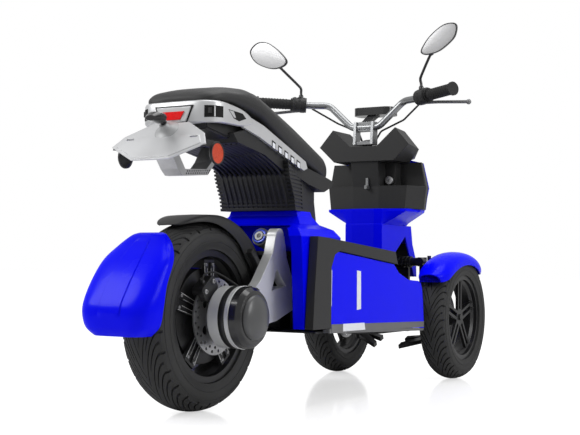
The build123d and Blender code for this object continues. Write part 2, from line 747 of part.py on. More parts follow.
# Tail: silver frame, slotted trims, light, plate holder with its lamp, bracket and reflectors
tail_frame_half = 78.0
tail_frame_shares = (
    (-0.0819, 0.8824), (-0.0759, 0.8364), (0.0169, 0.8194), (0.0641, 0.8485), (0.0844, 0.8509), (-0.0278, 0.8885),
)
band_shares = (
    (-0.0819, 0.8600), (0.0506, 0.8620), (0.0768, 0.8790), (0.0371, 0.9090), (-0.0658, 0.9200), (-0.0819, 0.9210),
)
band_window_shares = ((-0.0295, 0.8958), (0.0329, 0.8921), (0.0464, 0.8824), (0.0169, 0.8727), (-0.0042, 0.8788))
band_slot_shares = ((-0.0700, 0.8740), (-0.0660, 0.9020), (-0.0380, 0.8990), (-0.0380, 0.8790))
band_t = 14.0
band_recess = 4.0
band_back_share = -0.0819
band_low = 0.8600
band_high = 0.9210
rear_window_share = 0.70
slot_trim_shares = (
    (0.0346, 0.8570), (0.0591, 0.8921), (0.1173, 0.8739), (0.3046, 0.7842),
    (0.3131, 0.7624), (0.2970, 0.7539), (0.1013, 0.8364),
)
slot_count = 5
slot_first = 0.155
slot_step = 0.0275
slot_w = 0.0105
slot_drop = 0.0130
trim_out = 8.0
plate_rows = ((-0.1620, 0.7382, 0.25), (-0.1266, 0.7850, 0.62), (-0.1240, 0.8170, 0.53), (-0.0895, 0.8530, 0.20))
plate_t = 4.0
light_half = 32.0
light_h = 20.0
light_t = 12.0
reflector_r = 26.0
reflector_t = 14.0
lamp_neck_reach = 32.0
bracket_half = 26.0
bracket_shares = (
    (-0.1330, 0.7850), (-0.0960, 0.7200), (-0.0810, 0.7030), (-0.0675, 0.7030), (0.0118, 0.7127), (0.0380, 0.7503), (0.0700, 0.8000),
    (0.0600, 0.8250), (0.0253, 0.7539), (0.0068, 0.7297), (-0.0709, 0.7224), (-0.1200, 0.8100),
)

with BuildPart() as slot_trim:
    with BuildSketch(side_sketch(tail_cowl_half + clearance)):
        Polygon(*side_points(slot_trim_shares), align=None)
    extrude(amount=trim_out)
    with BuildSketch(side_sketch(tail_cowl_half + trim_out / 2)):
        for i in range(slot_count):
            low = slot_first + i * slot_step
            height = 0.8555 - (low - 0.1013) * 0.44
            Polygon(
                *side_points((
                    (low, height), (low + slot_w, height - slot_drop * 0.35),
                    (low + slot_w, height - slot_drop * 2), (low, height - slot_drop * 1.65),
                )), align=None,
            )
    extrude(amount=trim_out, mode=Mode.SUBTRACT)
    add(seat.part, mode=Mode.SUBTRACT)
pair(slot_trim, "seat_trims")

with BuildPart() as tail_frame:
    with BuildSketch(side_sketch(-tail_frame_half)):
        Polygon(*side_points(tail_frame_shares), align=None)
    extrude(amount=tail_frame_half * 2)
    for side in (1, -1):
        with BuildSketch(Plane(origin=(side * (base_half + clearance), 0, 0), x_dir=(0, side, 0), z_dir=(side, 0, 0))):
            Polygon(*[(side * y, z) for y, z in side_points(band_shares)], align=None)
        extrude(amount=band_t)
        with BuildSketch(
            Plane(origin=(side * (base_half + band_t - band_recess), 0, 0), x_dir=(0, side, 0), z_dir=(side, 0, 0))
        ):
            for table in (band_window_shares, band_slot_shares):
                Polygon(*[(side * y, z) for y, z in side_points(table)], align=None)
        extrude(amount=band_t, mode=Mode.SUBTRACT)
    with BuildSketch(across(band_back_share * wheelbase)):
        with Locations((0, (band_low + band_high) / 2 * seat_crown_z)):
            Rectangle((base_half + band_t) * 2, (band_high - band_low) * seat_crown_z)
    extrude(amount=-(seat_base_shares[0][0] - band_back_share) * wheelbase + clearance)
    with BuildSketch(across(band_back_share * wheelbase + band_recess)):
        for side in (1, -1):
            with Locations((side * (light_half + base_half) / 2, (band_low + band_high) / 2 * seat_crown_z)):
                Rectangle((base_half - light_half) * rear_window_share, (band_high - band_low) * seat_crown_z / 2)
    extrude(amount=band_t, mode=Mode.SUBTRACT)
    add(tail_cowl.part, mode=Mode.SUBTRACT)
    add(seat_base.part, mode=Mode.SUBTRACT)
    add(seat.part, mode=Mode.SUBTRACT)
    add(slot_trim.part, mode=Mode.SUBTRACT)
    add(mirror(slot_trim.part, about=Plane.YZ), mode=Mode.SUBTRACT)
finish(tail_frame, "tail_frame")

holder_dir = (0, plate_rows[3][0] - plate_rows[0][0], plate_rows[3][1] - plate_rows[0][1])
holder_low = (0, station(plate_rows[0][0] * wheelbase), plate_rows[0][1] * seat_crown_z)
holder_rise = holder_dir[2] * seat_crown_z
holder_run = holder_dir[1] * wheelbase
holder_length = math.hypot(holder_rise, holder_run)
holder_up = (0, holder_run / holder_length, holder_rise / holder_length)
holder_plane = Plane(origin=holder_low, x_dir=X_DIR, z_dir=(0, -holder_up[2], holder_up[1]))
plate_seat_t = 1.6
seat_shares = ((0.23, 0.05), (0.56, 0.38), (0.48, 0.60))
holder_shares = ((0.25, 0.0), (0.62, 0.38), (0.53, 0.66), (0.24, 1.0))
with BuildPart() as holder:
    with BuildSketch(holder_plane):
        right = [(a * body_half, b * holder_length) for a, b in holder_shares]
        Polygon(*right, *[(-x, z) for x, z in reversed(right)], align=None)
        for side in (1, -1):
            with Locations((side * 0.42 * body_half, holder_length * 0.56)):
                Rectangle(slot_w * wheelbase * 1.8, plate_t * 1.5, mode=Mode.SUBTRACT)
    extrude(amount=plate_t)
    with BuildSketch(holder_plane.offset(plate_t)):
        right = [(a * body_half, b * holder_length) for a, b in seat_shares]
        Polygon(*right, *[(-x, z) for x, z in reversed(right)], align=None)
        for side in (1, -1):
            with Locations((side * 0.42 * body_half, holder_length * 0.56)):
                Rectangle(slot_w * wheelbase * 1.8, plate_t * 1.5, mode=Mode.SUBTRACT)
    extrude(amount=plate_seat_t)
finish(holder, "plate_holder")

with BuildPart() as tail_bracket:
    with BuildSketch(side_sketch(-bracket_half)):
        Polygon(*side_points(bracket_shares), align=None)
    extrude(amount=bracket_half * 2)
    add(holder.part, mode=Mode.SUBTRACT)
    add(tail_cowl.part, mode=Mode.SUBTRACT)
finish(tail_bracket, "tail_bracket")

light_z_share = 0.878
with BuildPart() as light:
    with BuildSketch(across(band_back_share * wheelbase - clearance)):
        Polygon(
            (-light_half, light_z_share * seat_crown_z + light_h / 2), (light_half, light_z_share * seat_crown_z + light_h / 2),
            (light_half * 0.6, light_z_share * seat_crown_z - light_h / 2),
            (-light_half * 0.6, light_z_share * seat_crown_z - light_h / 2), align=None,
        )
    extrude(amount=light_t / 2)
finish(light, "tail_light")

lamp_sections = (  # station, half width, half height, centre height
    (-0.1220, 0.052, 0.0100, 0.8600), (-0.1330, 0.100, 0.0160, 0.8640),
    (-0.1520, 0.110, 0.0155, 0.8640), (-0.1640, 0.060, 0.0080, 0.8600),
)
lamp_neck_share = 0.82
lamp_neck_r = 8.0
with BuildPart() as lamp:
    for forward, half, rise, height in lamp_sections:
        with BuildSketch(across(forward * wheelbase)):
            with Locations((0, height * seat_crown_z)):
                Ellipse(half * body_half, rise * seat_crown_z)
    loft(ruled=True)
    with BuildSketch(holder_plane):
        with Locations((0, holder_length * lamp_neck_share)):
            Circle(lamp_neck_r)
    extrude(amount=lamp_neck_reach)
    add(holder.part, mode=Mode.SUBTRACT)
finish(lamp, "plate_lamp")

reflector_shares = (0.6216, -0.0937, 0.7600)
reflector_step_shares = (0.55, 0.74, 0.90)  # radius of the cup's back, of its rim, and of the lens
stalk_shares = (-0.0830, 0.5680, 0.7855, -0.1400)  # front end, half width, height, back end
stalk_w = 14.0
with BuildPart() as reflector:
    face_x = reflector_shares[0] * body_half
    back_x = face_x - reflector_t
    reflector_at = (0, station(reflector_shares[1] * wheelbase), reflector_shares[2] * seat_crown_z)
    with BuildSketch(wheel_plane(reflector_at)):
        with BuildLine():
            Polyline(
                (back_x, 0), (back_x, reflector_r * reflector_step_shares[0]),
                (back_x + reflector_t * reflector_step_shares[1], reflector_r), (face_x, reflector_r),
                (face_x, reflector_r * reflector_step_shares[2]), (face_x - clearance * 5, 0), close=True,
            )
        make_face()
    revolve(axis=Axis(reflector_at, X_DIR))
    with BuildSketch(across(stalk_shares[0] * wheelbase)):
        with Locations((stalk_shares[1] * body_half, stalk_shares[2] * seat_crown_z)):
            Rectangle(stalk_w, stalk_w)
    extrude(amount=(stalk_shares[0] - stalk_shares[3]) * wheelbase)
    with BuildSketch(holder_plane):
        Rectangle(body_half * 2, holder_length * 4)
    extrude(amount=lamp_neck_reach, mode=Mode.SUBTRACT)
pair(reflector, "reflectors")

# Fairing: blue beak with its flange, black inner body with two pockets, dash
column_z = (0.262, 0.6045)
column_shares = ((0.1757, 0.7924), (0.2928, 0.7975), (0.2793, 1.0346))
column_keep_shares = (
    (0.7848, 0.2606), (0.7848, 0.6600), (0.9873, 0.6600), (0.9941, 0.6000), (1.0051, 0.5309), (1.0312, 0.4655),
    (1.0346, 0.4000), (1.0169, 0.4000), (0.9536, 0.5624), (0.8532, 0.4642), (0.8759, 0.3903), (0.8143, 0.3515),
    (0.8017, 0.2606),
)
apron_shares = (
    (0.9941, 0.6000), (1.0051, 0.5309), (1.0312, 0.4655), (1.0346, 0.4000),
    (1.0312, 0.4000), (1.0278, 0.4655), (1.0017, 0.5309), (0.9907, 0.6000),
)
with BuildPart() as leg_shield:
    with BuildSketch(Plane.XY.offset(column_z[0] * seat_crown_z)):
        outline = plan_points(column_shares)
        Polygon(*outline, align=None)
        with Locations((0, station((column_shares[0][1] + column_shares[2][1]) / 2 * wheelbase))):
            Rectangle(
                (column_shares[2][0] * body_half - sheet) * 2,
                (column_shares[2][1] - column_shares[1][1]) * wheelbase - sheet * 3, mode=Mode.SUBTRACT,
            )
    extrude(amount=(column_z[1] - column_z[0]) * seat_crown_z)
    with BuildSketch(side_sketch(-body_half)):
        Polygon(*side_points(column_keep_shares), align=None)
    extrude(amount=body_half * 2, mode=Mode.INTERSECT)
    with BuildSketch(side_sketch(-column_shares[2][0] * body_half)):
        Polygon(*side_points(apron_shares), align=None)
    extrude(amount=column_shares[2][0] * body_half * 2)

black_front = 0.9114
tunnel_r = 23.0
stem_r = 16.0
stem_top = 800.0
stem_station = 950.0
steer_point = (0, station(stem_station), stem_top)
steer_plane = Plane(origin=steer_point, x_dir=X_DIR, z_dir=axis_up)
stem_low = -545.0
stem_high = -34.0
tunnel_length = 700.0

flange_rows = (  # height, then the right half outline from the rear
    (0.6040, ((0.1757, 0.7932), (0.2883, 0.7983), (0.2928, 0.8101), (0.2973, 0.8861), (0.2973, 0.9451), (0.1802, 1.0025))),
    (0.6545, ((0.1757, 0.7924), (0.2928, 0.7975), (0.6216, 0.8160), (0.6847, 0.8861), (0.6306, 0.9350), (0.2703, 1.0228))),
    (0.6640, ((0.1757, 0.7924), (0.2928, 0.7975), (0.6216, 0.8160), (0.6890, 0.8861), (0.6400, 0.9350), (0.2750, 1.0245))),
)
nose_rows = (
    (0.6644, ((0.7100, black_front), (0.6380, 0.9360), (0.2750, 1.0245))),
    (0.7515, ((0.7550, black_front), (0.7000, 0.9400), (0.3243, 1.0363))),
    (0.8485, ((0.6700, black_front), (0.6000, 0.9450), (0.2973, 1.0228))),
    (0.8700, ((0.3500, black_front), (0.3000, 0.9450), (0.1973, 1.0028))),
)
black_rows = (
    (0.6644, ((0.2027, 0.8118), (0.5946, 0.8186), (0.7432, 0.8819), (0.7050, black_front - 0.0003))),
    (0.7515, ((0.2027, 0.8101), (0.6300, 0.8186), (0.7838, 0.8819), (0.7500, black_front - 0.0003))),
    (0.8481, ((0.2027, 0.8000), (0.6800, 0.8050), (0.7100, 0.8819), (0.6650, black_front - 0.0003))),
)
pocket_x = (50.0, 124.0)
pocket_back = 976.0
pocket_depth = 58.0
pocket_floor = 566.0
pocket_wall_top = 622.0
niche_x = 84.0
niche_back = 1002.0
niche_front = 1040.0
middle_half = 48.0


def rows_loft(rows):
    """Sketches one plan outline per row of (height share, outline)."""
    for height, outline in rows:
        with BuildSketch(Plane.XY.offset(height * seat_crown_z)) as sketch:
            Polygon(*plan_points(outline), align=None)
        yield sketch.sketch


with BuildPart() as flange:
    loft(list(rows_loft(flange_rows)), ruled=True)
    with BuildSketch(steer_plane):
        Circle(tunnel_r * 2)
    extrude(amount=-tunnel_length, mode=Mode.SUBTRACT)
union("leg_shield", leg_shield, flange)
with BuildPart() as nose:
    loft(list(rows_loft(nose_rows)), ruled=True)
finish(nose, "nose_shell")
with BuildPart() as inner_body:
    loft(list(rows_loft(black_rows)), ruled=True)
    with BuildSketch(Plane.XY.offset(pocket_floor)):
        for side in (1, -1):
            with Locations((side * (pocket_x[0] + pocket_x[1]) / 2, station(pocket_back + pocket_depth / 2))):
                Rectangle(pocket_x[1] - pocket_x[0], pocket_depth)
    extrude(amount=pocket_wall_top - pocket_floor + clearance, mode=Mode.SUBTRACT)
    for inner_x, front in ((middle_half, niche_back), (niche_x, niche_front)):
        with BuildSketch(Plane.XY.offset(pocket_wall_top)):
            for side in (1, -1):
                with Locations((side * (inner_x + body_half) / 2, station(front / 2))):
                    Rectangle(body_half - inner_x, front)
        extrude(amount=seat_crown_z - pocket_wall_top, mode=Mode.SUBTRACT)
    with BuildSketch(steer_plane):
        Circle(tunnel_r)
    extrude(amount=-tunnel_length, mode=Mode.SUBTRACT)
finish(inner_body, "fairing_inner")

dash_rows = (
    (0.7924, ((0.4775, 0.8485), (0.7162, 0.9091), (0.5000, 0.9758), (0.2162, 0.9079))),
    (0.8776, ((0.5315, 0.8485), (0.6757, 0.8994), (0.4505, 0.9721), (0.2027, 0.9030))),
    (0.9700, ((0.3200, 0.8704), (0.3900, 0.8752), (0.2613, 0.8945), (0.1351, 0.8921))),
)
with BuildPart() as dash:
    sections = []
    for forward, outline in dash_rows:
        with BuildSketch(across(forward * wheelbase)) as section:
            Polygon(*rear_points(outline), align=None)
        sections.append(section.sketch)
    loft(sections, ruled=True)
    with BuildSketch(steer_plane):
        Circle(tunnel_r)
    extrude(amount=-tunnel_length, mode=Mode.SUBTRACT)
    add(nose.part, mode=Mode.SUBTRACT)
finish(dash, "dash_cover")

lens_half = 46.0
lens_h = 60.0
lens_t = 10.0
lens_z = 0.7515
with BuildPart() as headlight:
    with BuildSketch(across(nose_rows[1][1][2][1] * wheelbase)):
        with Locations((0, lens_z * seat_crown_z)):
            RectangleRounded(lens_half * 2, lens_h, lens_h / 4)
    extrude(amount=-lens_t)
finish(headlight, "headlight")

lock_r = 13.0
lock_t = 8.0
lock_x = 66.0
lock_z = 641.0
with BuildPart() as lock:
    with BuildSketch(across(niche_back)):
        with Locations((lock_x, lock_z)):
            Circle(lock_r)
    extrude(amount=lock_t)
finish(lock, "key_lock")

hook_w = 8.0
hook_h = 36.0
hook_t = 6.0
hook_reach = 22.0
hook_z = 611.0
hook_x = 8.0
with BuildPart() as hook:
    with BuildSketch(side_sketch(hook_x - hook_w / 2)):
        y = station(stem_station + hook_t * 2)
        Polygon(
            (y, hook_z + hook_h), (y - hook_t * 2, hook_z + hook_h), (y - hook_t * 2, hook_z + hook_t),
            (y - hook_reach + hook_t, hook_z + hook_t), (y - hook_reach + hook_t, hook_z + hook_t * 2),
            (y - hook_reach, hook_z + hook_t * 2), (y - hook_reach, hook_z), (y, hook_z), align=None,
        )
    extrude(amount=hook_w)
    add(inner_body.part, mode=Mode.SUBTRACT)
finish(hook, "bag_hook")

# Steering head and front frame: head tube, arms with their bosses, damper mounts
kingpin_x = 140.0
kingpin_r = 15.0
pin_r = 10.0
boss_r = 17.0
damper_lug_t = 8.0
boss_h = 18.0
boss_low = -84.0  # along the kingpin from the wheel's centre height
boss_high = 96.0
kingpin_point = (kingpin_x, front_axle_y - 3.0, front_tyre_r)
kingpin_plane = Plane(origin=kingpin_point, x_dir=X_DIR, z_dir=axis_up)
arm_h = 14.0
arm_lower_shares = (0.30, 1.0)
head_low = -400.0
head_high = -300.0
head_r = 30.0
head_plate_t = 24.0
damper_station = 1146.5
damper_z = 380.0
damper_r = 19.0
damper_body_r = 14.0
damper_in = 6.0
damper_out = 112.0
damper_eye_r = 15.0
damper_post_t = 12.0
head_plate_shares = ((0.9870, 0.4950), (0.9960, 0.5200), (0.9300, 0.5950), (0.8870, 0.5950), (0.9000, 0.5450))


def wheel_side(side):
    """The kingpin's plane on one side."""
    return Plane(origin=(side * kingpin_x, kingpin_point[1], kingpin_point[2]), x_dir=X_DIR, z_dir=axis_up)


with BuildPart() as head:
    with BuildSketch(side_sketch(-head_plate_t / 2)):
        Polygon(*side_points(head_plate_shares), align=None)
    extrude(amount=head_plate_t)
    with BuildSketch(steer_plane.offset(head_low)):
        Circle(head_r)
    extrude(amount=head_high - head_low)
    with BuildSketch(steer_plane.offset(head_low - overrun)):
        Circle(stem_r + running_clearance)
    extrude(amount=head_high - head_low + overrun * 2, mode=Mode.SUBTRACT)
    with BuildSketch(steer_plane.offset(head_low - head_r)):
        Circle(tunnel_r)
    extrude(amount=head_r, mode=Mode.SUBTRACT)
    add(leg_shield.part, mode=Mode.SUBTRACT)
    add(frame.part, mode=Mode.SUBTRACT)


def front_arm(along, inner_x, inner_forward):
    """A flat forked arm from the spine or the tower out to a boss on the right kingpin."""
    plane = wheel_side(1).offset(along)
    reach = kingpin_x - inner_x
    shift = (station(inner_forward) - plane.origin.Y) / cos_rake
    with BuildPart() as arm:
        with BuildSketch(plane.offset((boss_h - arm_h) / 2)):
            Circle(boss_r)
            Polygon(
                (0, boss_r * 0.8), (-reach, shift + boss_r * 3), (-reach, shift + boss_r * 1.6),
                (-boss_r * 1.5, 0), (-reach, shift - boss_r * 0.2),
                (-reach, shift - boss_r * 1.6), (0, -boss_r * 0.8), align=None,
            )
        extrude(amount=arm_h)
        with BuildSketch(plane):
            Circle(boss_r)
        extrude(amount=boss_h)
        with BuildSketch(plane.offset(-overrun)):
            Circle(pin_r + running_clearance)
        extrude(amount=boss_h + overrun * 2, mode=Mode.SUBTRACT)
        add(frame.part, mode=Mode.SUBTRACT)
    return arm


lower_arm_trail = 35.0  # the arm's root behind the front axle
upper_arm_trail = 45.0
lower_arm = front_arm(boss_low, spine_half, wheelbase - lower_arm_trail)
upper_arm = front_arm(boss_high, tower_half, wheelbase - upper_arm_trail)
lug_back = damper_station + damper_eye_r + clearance
with BuildPart() as upper_arm_lug:
    add(upper_arm.part)
    with BuildSketch(across(lug_back + damper_lug_t)):
        with Locations((damper_out, (front_tyre_r + boss_high + damper_z) / 2 + damper_eye_r / 2)):
            Rectangle(damper_eye_r * 1.6, damper_z - front_tyre_r - boss_high + damper_eye_r)
    extrude(amount=damper_lug_t)
with BuildPart() as right_arms:
    add(lower_arm.part)
    add(upper_arm_lug.part)
pair(right_arms, "front_arms")

with BuildPart() as damper:
    middle = (station(damper_station), damper_z)
    with BuildSketch(side_sketch(damper_in)):
        with Locations(middle):
            Circle(damper_body_r)
    extrude(amount=damper_out - damper_in)
    coil_count = 6
    coil_step = (damper_out - damper_in - damper_eye_r * 2) / coil_count
    for i in range(coil_count):
        with BuildSketch(side_sketch(damper_in + coil_step * (i + 0.2))):
            with Locations(middle):
                Circle(damper_r)
        extrude(amount=coil_step * 0.6)
    with BuildSketch(across(damper_station + damper_eye_r)):
        with Locations((damper_out, damper_z)):
            Circle(damper_eye_r)
    extrude(amount=damper_eye_r * 2)
pair(damper, "front_dampers")

with BuildPart() as mounts:
    with BuildSketch(side_sketch(-damper_in + clearance)):
        Polygon(
            (station(damper_station - damper_body_r), damper_z + damper_body_r),
            (station(damper_station - damper_body_r), damper_z - damper_body_r),
            (station(tower_back), damper_z - damper_body_r * 2),
            (station(tower_back), damper_z + damper_body_r), align=None,
        )
    extrude(amount=(damper_in - clearance) * 2)
union("main_frame", frame, head, mounts)

# Steered wheels, their uprights, calipers and fenders
wheel_centre = (wheel_x, front_axle_y, front_tyre_r)
front_hub_r = 27.0
front_hub_in = 186.0
spindle_r = 10.0
spindle_end = 240.0
spoke_in = 226.0
spoke_t = 9.0
spoke_w = 9.0
spoke_gap = 13.0
spoke_count = 5
front_disc_x = 181.0
front_disc_r = 82.0
front_disc_t = 4.0
steer_arm = 60.0
steer_arm_w = 16.0
steer_arm_h = 12.0
steer_arm_along = 48.0
rod_ring_r = 12.0
rod_ring_h = 11.0
rod_pin_r = 5.0
rod_r = 6.0

front_tyre = build_tyre(wheel_centre, front_tyre_r, front_tyre_w, front_seat_r, front_rim_half)
both_sides(front_tyre, "front_tyre")

with BuildPart() as front_rim:
    with BuildSketch(wheel_plane(wheel_centre)):
        with BuildLine():
            Polyline(*rim_profile(front_seat_r, front_rim_half), close=True)
        make_face()
    revolve(axis=Axis(wheel_centre, X_DIR))
    with BuildSketch(side_sketch(spoke_in)):
        with Locations((front_axle_y, front_tyre_r)):
            reach = front_seat_r - rim_drop - rim_t
            with PolarLocations(0, spoke_count, start_angle=90):
                for side in (1, -1):
                    with Locations((reach / 2, side * (spoke_gap + spoke_w) / 2)):
                        Rectangle(reach + rim_t, spoke_w)
            Circle(front_hub_r)
            Circle(spindle_r + running_clearance, mode=Mode.SUBTRACT)
    extrude(amount=spoke_t)
    with BuildSketch(side_sketch(front_hub_in)):
        with Locations((front_axle_y, front_tyre_r)):
            Circle(front_hub_r)
            Circle(spindle_r + running_clearance, mode=Mode.SUBTRACT)
    extrude(amount=spoke_in - front_hub_in + clearance)
both_sides(front_rim, "front_rim")

with BuildPart() as front_disc:
    with BuildSketch(side_sketch(front_disc_x)):
        with Locations((front_axle_y, front_tyre_r)):
            Circle(front_disc_r)
            Circle(spindle_r + running_clearance, mode=Mode.SUBTRACT)
            with PolarLocations(front_disc_r * 0.86, 16):
                Circle(disc_hole_r, mode=Mode.SUBTRACT)
    extrude(amount=front_disc_t)
both_sides(front_disc, "front_brake_disc")

stay_gap = 5.5
fender_half = 54.0
fender_t = 3.0
fender_drop = 118.0  # the arc's centre below the axle
fender_gap = 14.0  # above the tread
fender_r = front_tyre_r + fender_drop + fender_gap
fender_start = 55.0
fender_end = 131.0
fender_centre = (front_axle_y, front_tyre_r - fender_drop)
with BuildPart() as upright:
    with BuildSketch(kingpin_plane.offset(boss_low + boss_h + clearance)):
        Circle(kingpin_r)
    extrude(amount=boss_high - boss_low - boss_h - clearance * 2)
    with BuildSketch(kingpin_plane.offset(boss_low - clearance * 4)):
        Circle(pin_r)
    extrude(amount=boss_high - boss_low + boss_h + clearance * 8)
    with BuildSketch(side_sketch(kingpin_x)):
        with Locations((front_axle_y, front_tyre_r)):
            Circle(kingpin_r * 1.4)
    extrude(amount=front_disc_x - stay_gap - kingpin_x)
    with BuildSketch(side_sketch(kingpin_x)):
        with Locations((front_axle_y, front_tyre_r)):
            Circle(spindle_r)
    extrude(amount=spindle_end - kingpin_x)
    with BuildSketch(kingpin_plane.offset(steer_arm_along)):
        with Locations((0, -steer_arm / 2)):
            Rectangle(steer_arm_w, steer_arm)
        with Locations((0, -steer_arm)):
            Circle(steer_arm_w / 2 + rod_r / 2)
    extrude(amount=steer_arm_h)
    with BuildSketch(kingpin_plane.offset(steer_arm_along + steer_arm_h)):
        with Locations((0, -steer_arm)):
            Circle(rod_pin_r)
    extrude(amount=rod_ring_h + clearance * 4)

caliper_at = 150.0
front_caliper_r = 76.0
front_caliper_length = 46.0
front_caliper_depth = 34.0
with BuildPart() as front_caliper:
    tilt = Plane(origin=(0, front_axle_y, front_tyre_r), x_dir=(0, math.cos(math.radians(caliper_at)),
                 math.sin(math.radians(caliper_at))), z_dir=X_DIR)
    inner_x = front_disc_x - front_disc_t * 3
    with BuildSketch(tilt.offset(inner_x)):
        with Locations((front_caliper_r, 0)):
            RectangleRounded(front_caliper_depth, front_caliper_length, front_caliper_depth / 5)
    extrude(amount=front_disc_t * 7)
    with BuildSketch(tilt.offset(front_disc_x - front_disc_t / 2)):
        Circle(front_disc_r + front_disc_t)
    extrude(amount=front_disc_t * 2, mode=Mode.SUBTRACT)
    with BuildSketch(tilt.offset(inner_x)):
        with Locations((front_caliper_r / 2 + kingpin_r * 0.7, 0)):
            Rectangle(front_caliper_r - kingpin_r * 1.4, front_caliper_length / 3)
    extrude(amount=front_disc_t * 2)
    add(upright.part, mode=Mode.SUBTRACT)
both_sides(front_caliper, "front_caliper")

fender_dome_shares = ((1.0, 0.135), (1.0, 0.090), (0.90, 0.050), (0.66, 0.020), (0.32, 0.004))  # half, drop / radius
fender_plan_shares = (  # half width, station ahead of the front axle in radii
    (0.46, 0.600), (0.86, 0.46), (1.0, 0.30), (1.2, 0.20), (1.2, -0.50), (1.0, -0.64), (0.62, -0.80),
)
with BuildPart() as fender:
    fender_at = (wheel_x, *fender_centre)
    start_dir = (0, -math.sin(math.radians(fender_start)), math.cos(math.radians(fender_start)))
    right = [(a * fender_half, fender_r * (1 - b)) for a, b in fender_dome_shares]
    outer = right + [(-x, z) for x, z in reversed(right)]
    inner = [(x * (1 - fender_t / fender_half), z - fender_t) for x, z in reversed(outer[1:-1])]
    with BuildSketch(Plane(origin=fender_at, x_dir=X_DIR, z_dir=start_dir)):
        Polygon(*outer, (outer[-1][0] + fender_t, outer[-1][1]), *inner, (outer[0][0] - fender_t, outer[0][1]), align=None)
    revolve(axis=Axis(fender_at, X_DIR), revolution_arc=fender_end - fender_start)
    with BuildSketch(Plane.XY):
        right = [(wheel_x + a * fender_half, front_axle_y + b * fender_r) for a, b in fender_plan_shares]
        left = [(wheel_x - a * fender_half, front_axle_y + b * fender_r) for a, b in fender_plan_shares]
        Polygon(*right, *reversed(left), align=None)
    extrude(amount=seat_crown_z, mode=Mode.INTERSECT)
both_sides(fender, "front_fender")

fender_stay_t = 5.0
fender_stay_w = 20.0
fender_stay_back = 69.0
fender_stay_low = 262.0
fender_stay_top = 400.0
fender_foot_h = 17.0
with BuildPart() as fender_stay:
    with BuildSketch(side_sketch(wheel_x - fender_half - clearance - fender_stay_t)):
        with Locations((front_axle_y - fender_stay_back, (fender_stay_low + fender_stay_top) / 2)):
            Rectangle(fender_stay_w, fender_stay_top - fender_stay_low)
        with Locations((front_axle_y - fender_stay_back * 0.62, fender_stay_low + fender_foot_h / 2)):
            Rectangle(fender_stay_back * 0.8, fender_foot_h)
    extrude(amount=fender_stay_t)
    with BuildSketch(side_sketch(kingpin_x)):
        with Locations((front_axle_y - fender_stay_back * 0.4, fender_stay_low + fender_foot_h / 2)):
            Rectangle(fender_stay_w, fender_foot_h)
    extrude(amount=wheel_x - fender_half - clearance - fender_stay_t - kingpin_x)
    add(upright.part, mode=Mode.SUBTRACT)
with BuildPart() as whole_upright:
    add(upright.part)
    add(fender_stay.part)
both_sides(whole_upright, "upright")

# Steering: stem with its drop arm, clamp, handlebar and what it carries
drop_arm_h = 12.0
drop_along = stem_low
with BuildPart() as stem:
    with BuildSketch(steer_plane.offset(stem_low)):
        Circle(stem_r)
    extrude(amount=stem_high - stem_low)
    with BuildSketch(steer_plane.offset(drop_along)):
        with Locations((0, -steer_arm / 2)):
            Rectangle(steer_arm_w, steer_arm)
        with Locations((0, -steer_arm)):
            Circle(steer_arm_w / 2 + rod_r / 2)
    extrude(amount=drop_arm_h)
    with BuildSketch(steer_plane.offset(drop_along - rod_ring_h - clearance * 4)):
        with Locations((0, -steer_arm)):
            Circle(rod_pin_r)
    extrude(amount=rod_ring_h + clearance * 4)
finish(stem, "steering_stem")


def on_axis(origin, across_x, back, along):
    """A point square off an inclined axis: to the right, forward along the square, and up the axis."""
    return (
        origin[0] + across_x,
        origin[1] + back * cos_rake - along * sin_rake,
        origin[2] + back * sin_rake + along * cos_rake,
    )


ring_mid = rod_ring_h / 2 + clearance * 2
drop_pin = on_axis(steer_point, 0, -steer_arm, drop_along - ring_mid)
with BuildPart() as rods:
    with BuildSketch(steer_plane.offset(drop_along - rod_ring_h - clearance * 2)):
        with Locations((0, -steer_arm)):
            Circle(rod_ring_r)
    extrude(amount=rod_ring_h)
    for side in (1, -1):
        arm_pin = on_axis((side * kingpin_x, kingpin_point[1], kingpin_point[2]), 0, -steer_arm,
                          steer_arm_along + steer_arm_h + ring_mid)
        with BuildSketch(wheel_side(side).offset(steer_arm_along + steer_arm_h + clearance * 2)):
            with Locations((0, -steer_arm)):
                Circle(rod_ring_r)
        extrude(amount=rod_ring_h)
        run = Vector(*arm_pin) - Vector(*drop_pin)
        with BuildSketch(Plane(origin=drop_pin, z_dir=run)):
            Circle(rod_r)
        extrude(amount=run.length)
    with BuildSketch(steer_plane.offset(drop_along - rod_ring_h * 2)):
        with Locations((0, -steer_arm)):
            Circle(rod_pin_r + running_clearance)
    extrude(amount=rod_ring_h * 3, mode=Mode.SUBTRACT)
    for side in (1, -1):
        with BuildSketch(wheel_side(side).offset(steer_arm_along + steer_arm_h - rod_ring_h)):
            with Locations((0, -steer_arm)):
                Circle(rod_pin_r + running_clearance)
        extrude(amount=rod_ring_h * 3, mode=Mode.SUBTRACT)
finish(rods, "tie_rods")

bar_r = 11.0
bar_shares = (  # half width, forward, height, as shares of half the track, the wheelbase and the seat's height
    (0.0, 0.8042, 0.9830), (0.2264, 0.8042, 0.9830), (0.6300, 0.8076, 1.0776), (0.8600, 0.7850, 1.0776),
    (1.6085, 0.7148, 1.0897),
)
bar_bend = 38.0


def bar_points():
    right = [(a * wheel_x, station(b * wheelbase), c * seat_crown_z) for a, b, c in bar_shares[1:]]
    return [(-x, y, z) for x, y, z in reversed(right)] + right


with BuildPart() as bar:
    with BuildLine() as bar_line:
        FilletPolyline(*bar_points(), radius=bar_bend)
    with BuildSketch(Plane(origin=bar_line.line @ 0, z_dir=bar_line.line % 0)):
        Circle(bar_r)
    sweep(path=bar_line.line)
finish(bar, "handlebar")

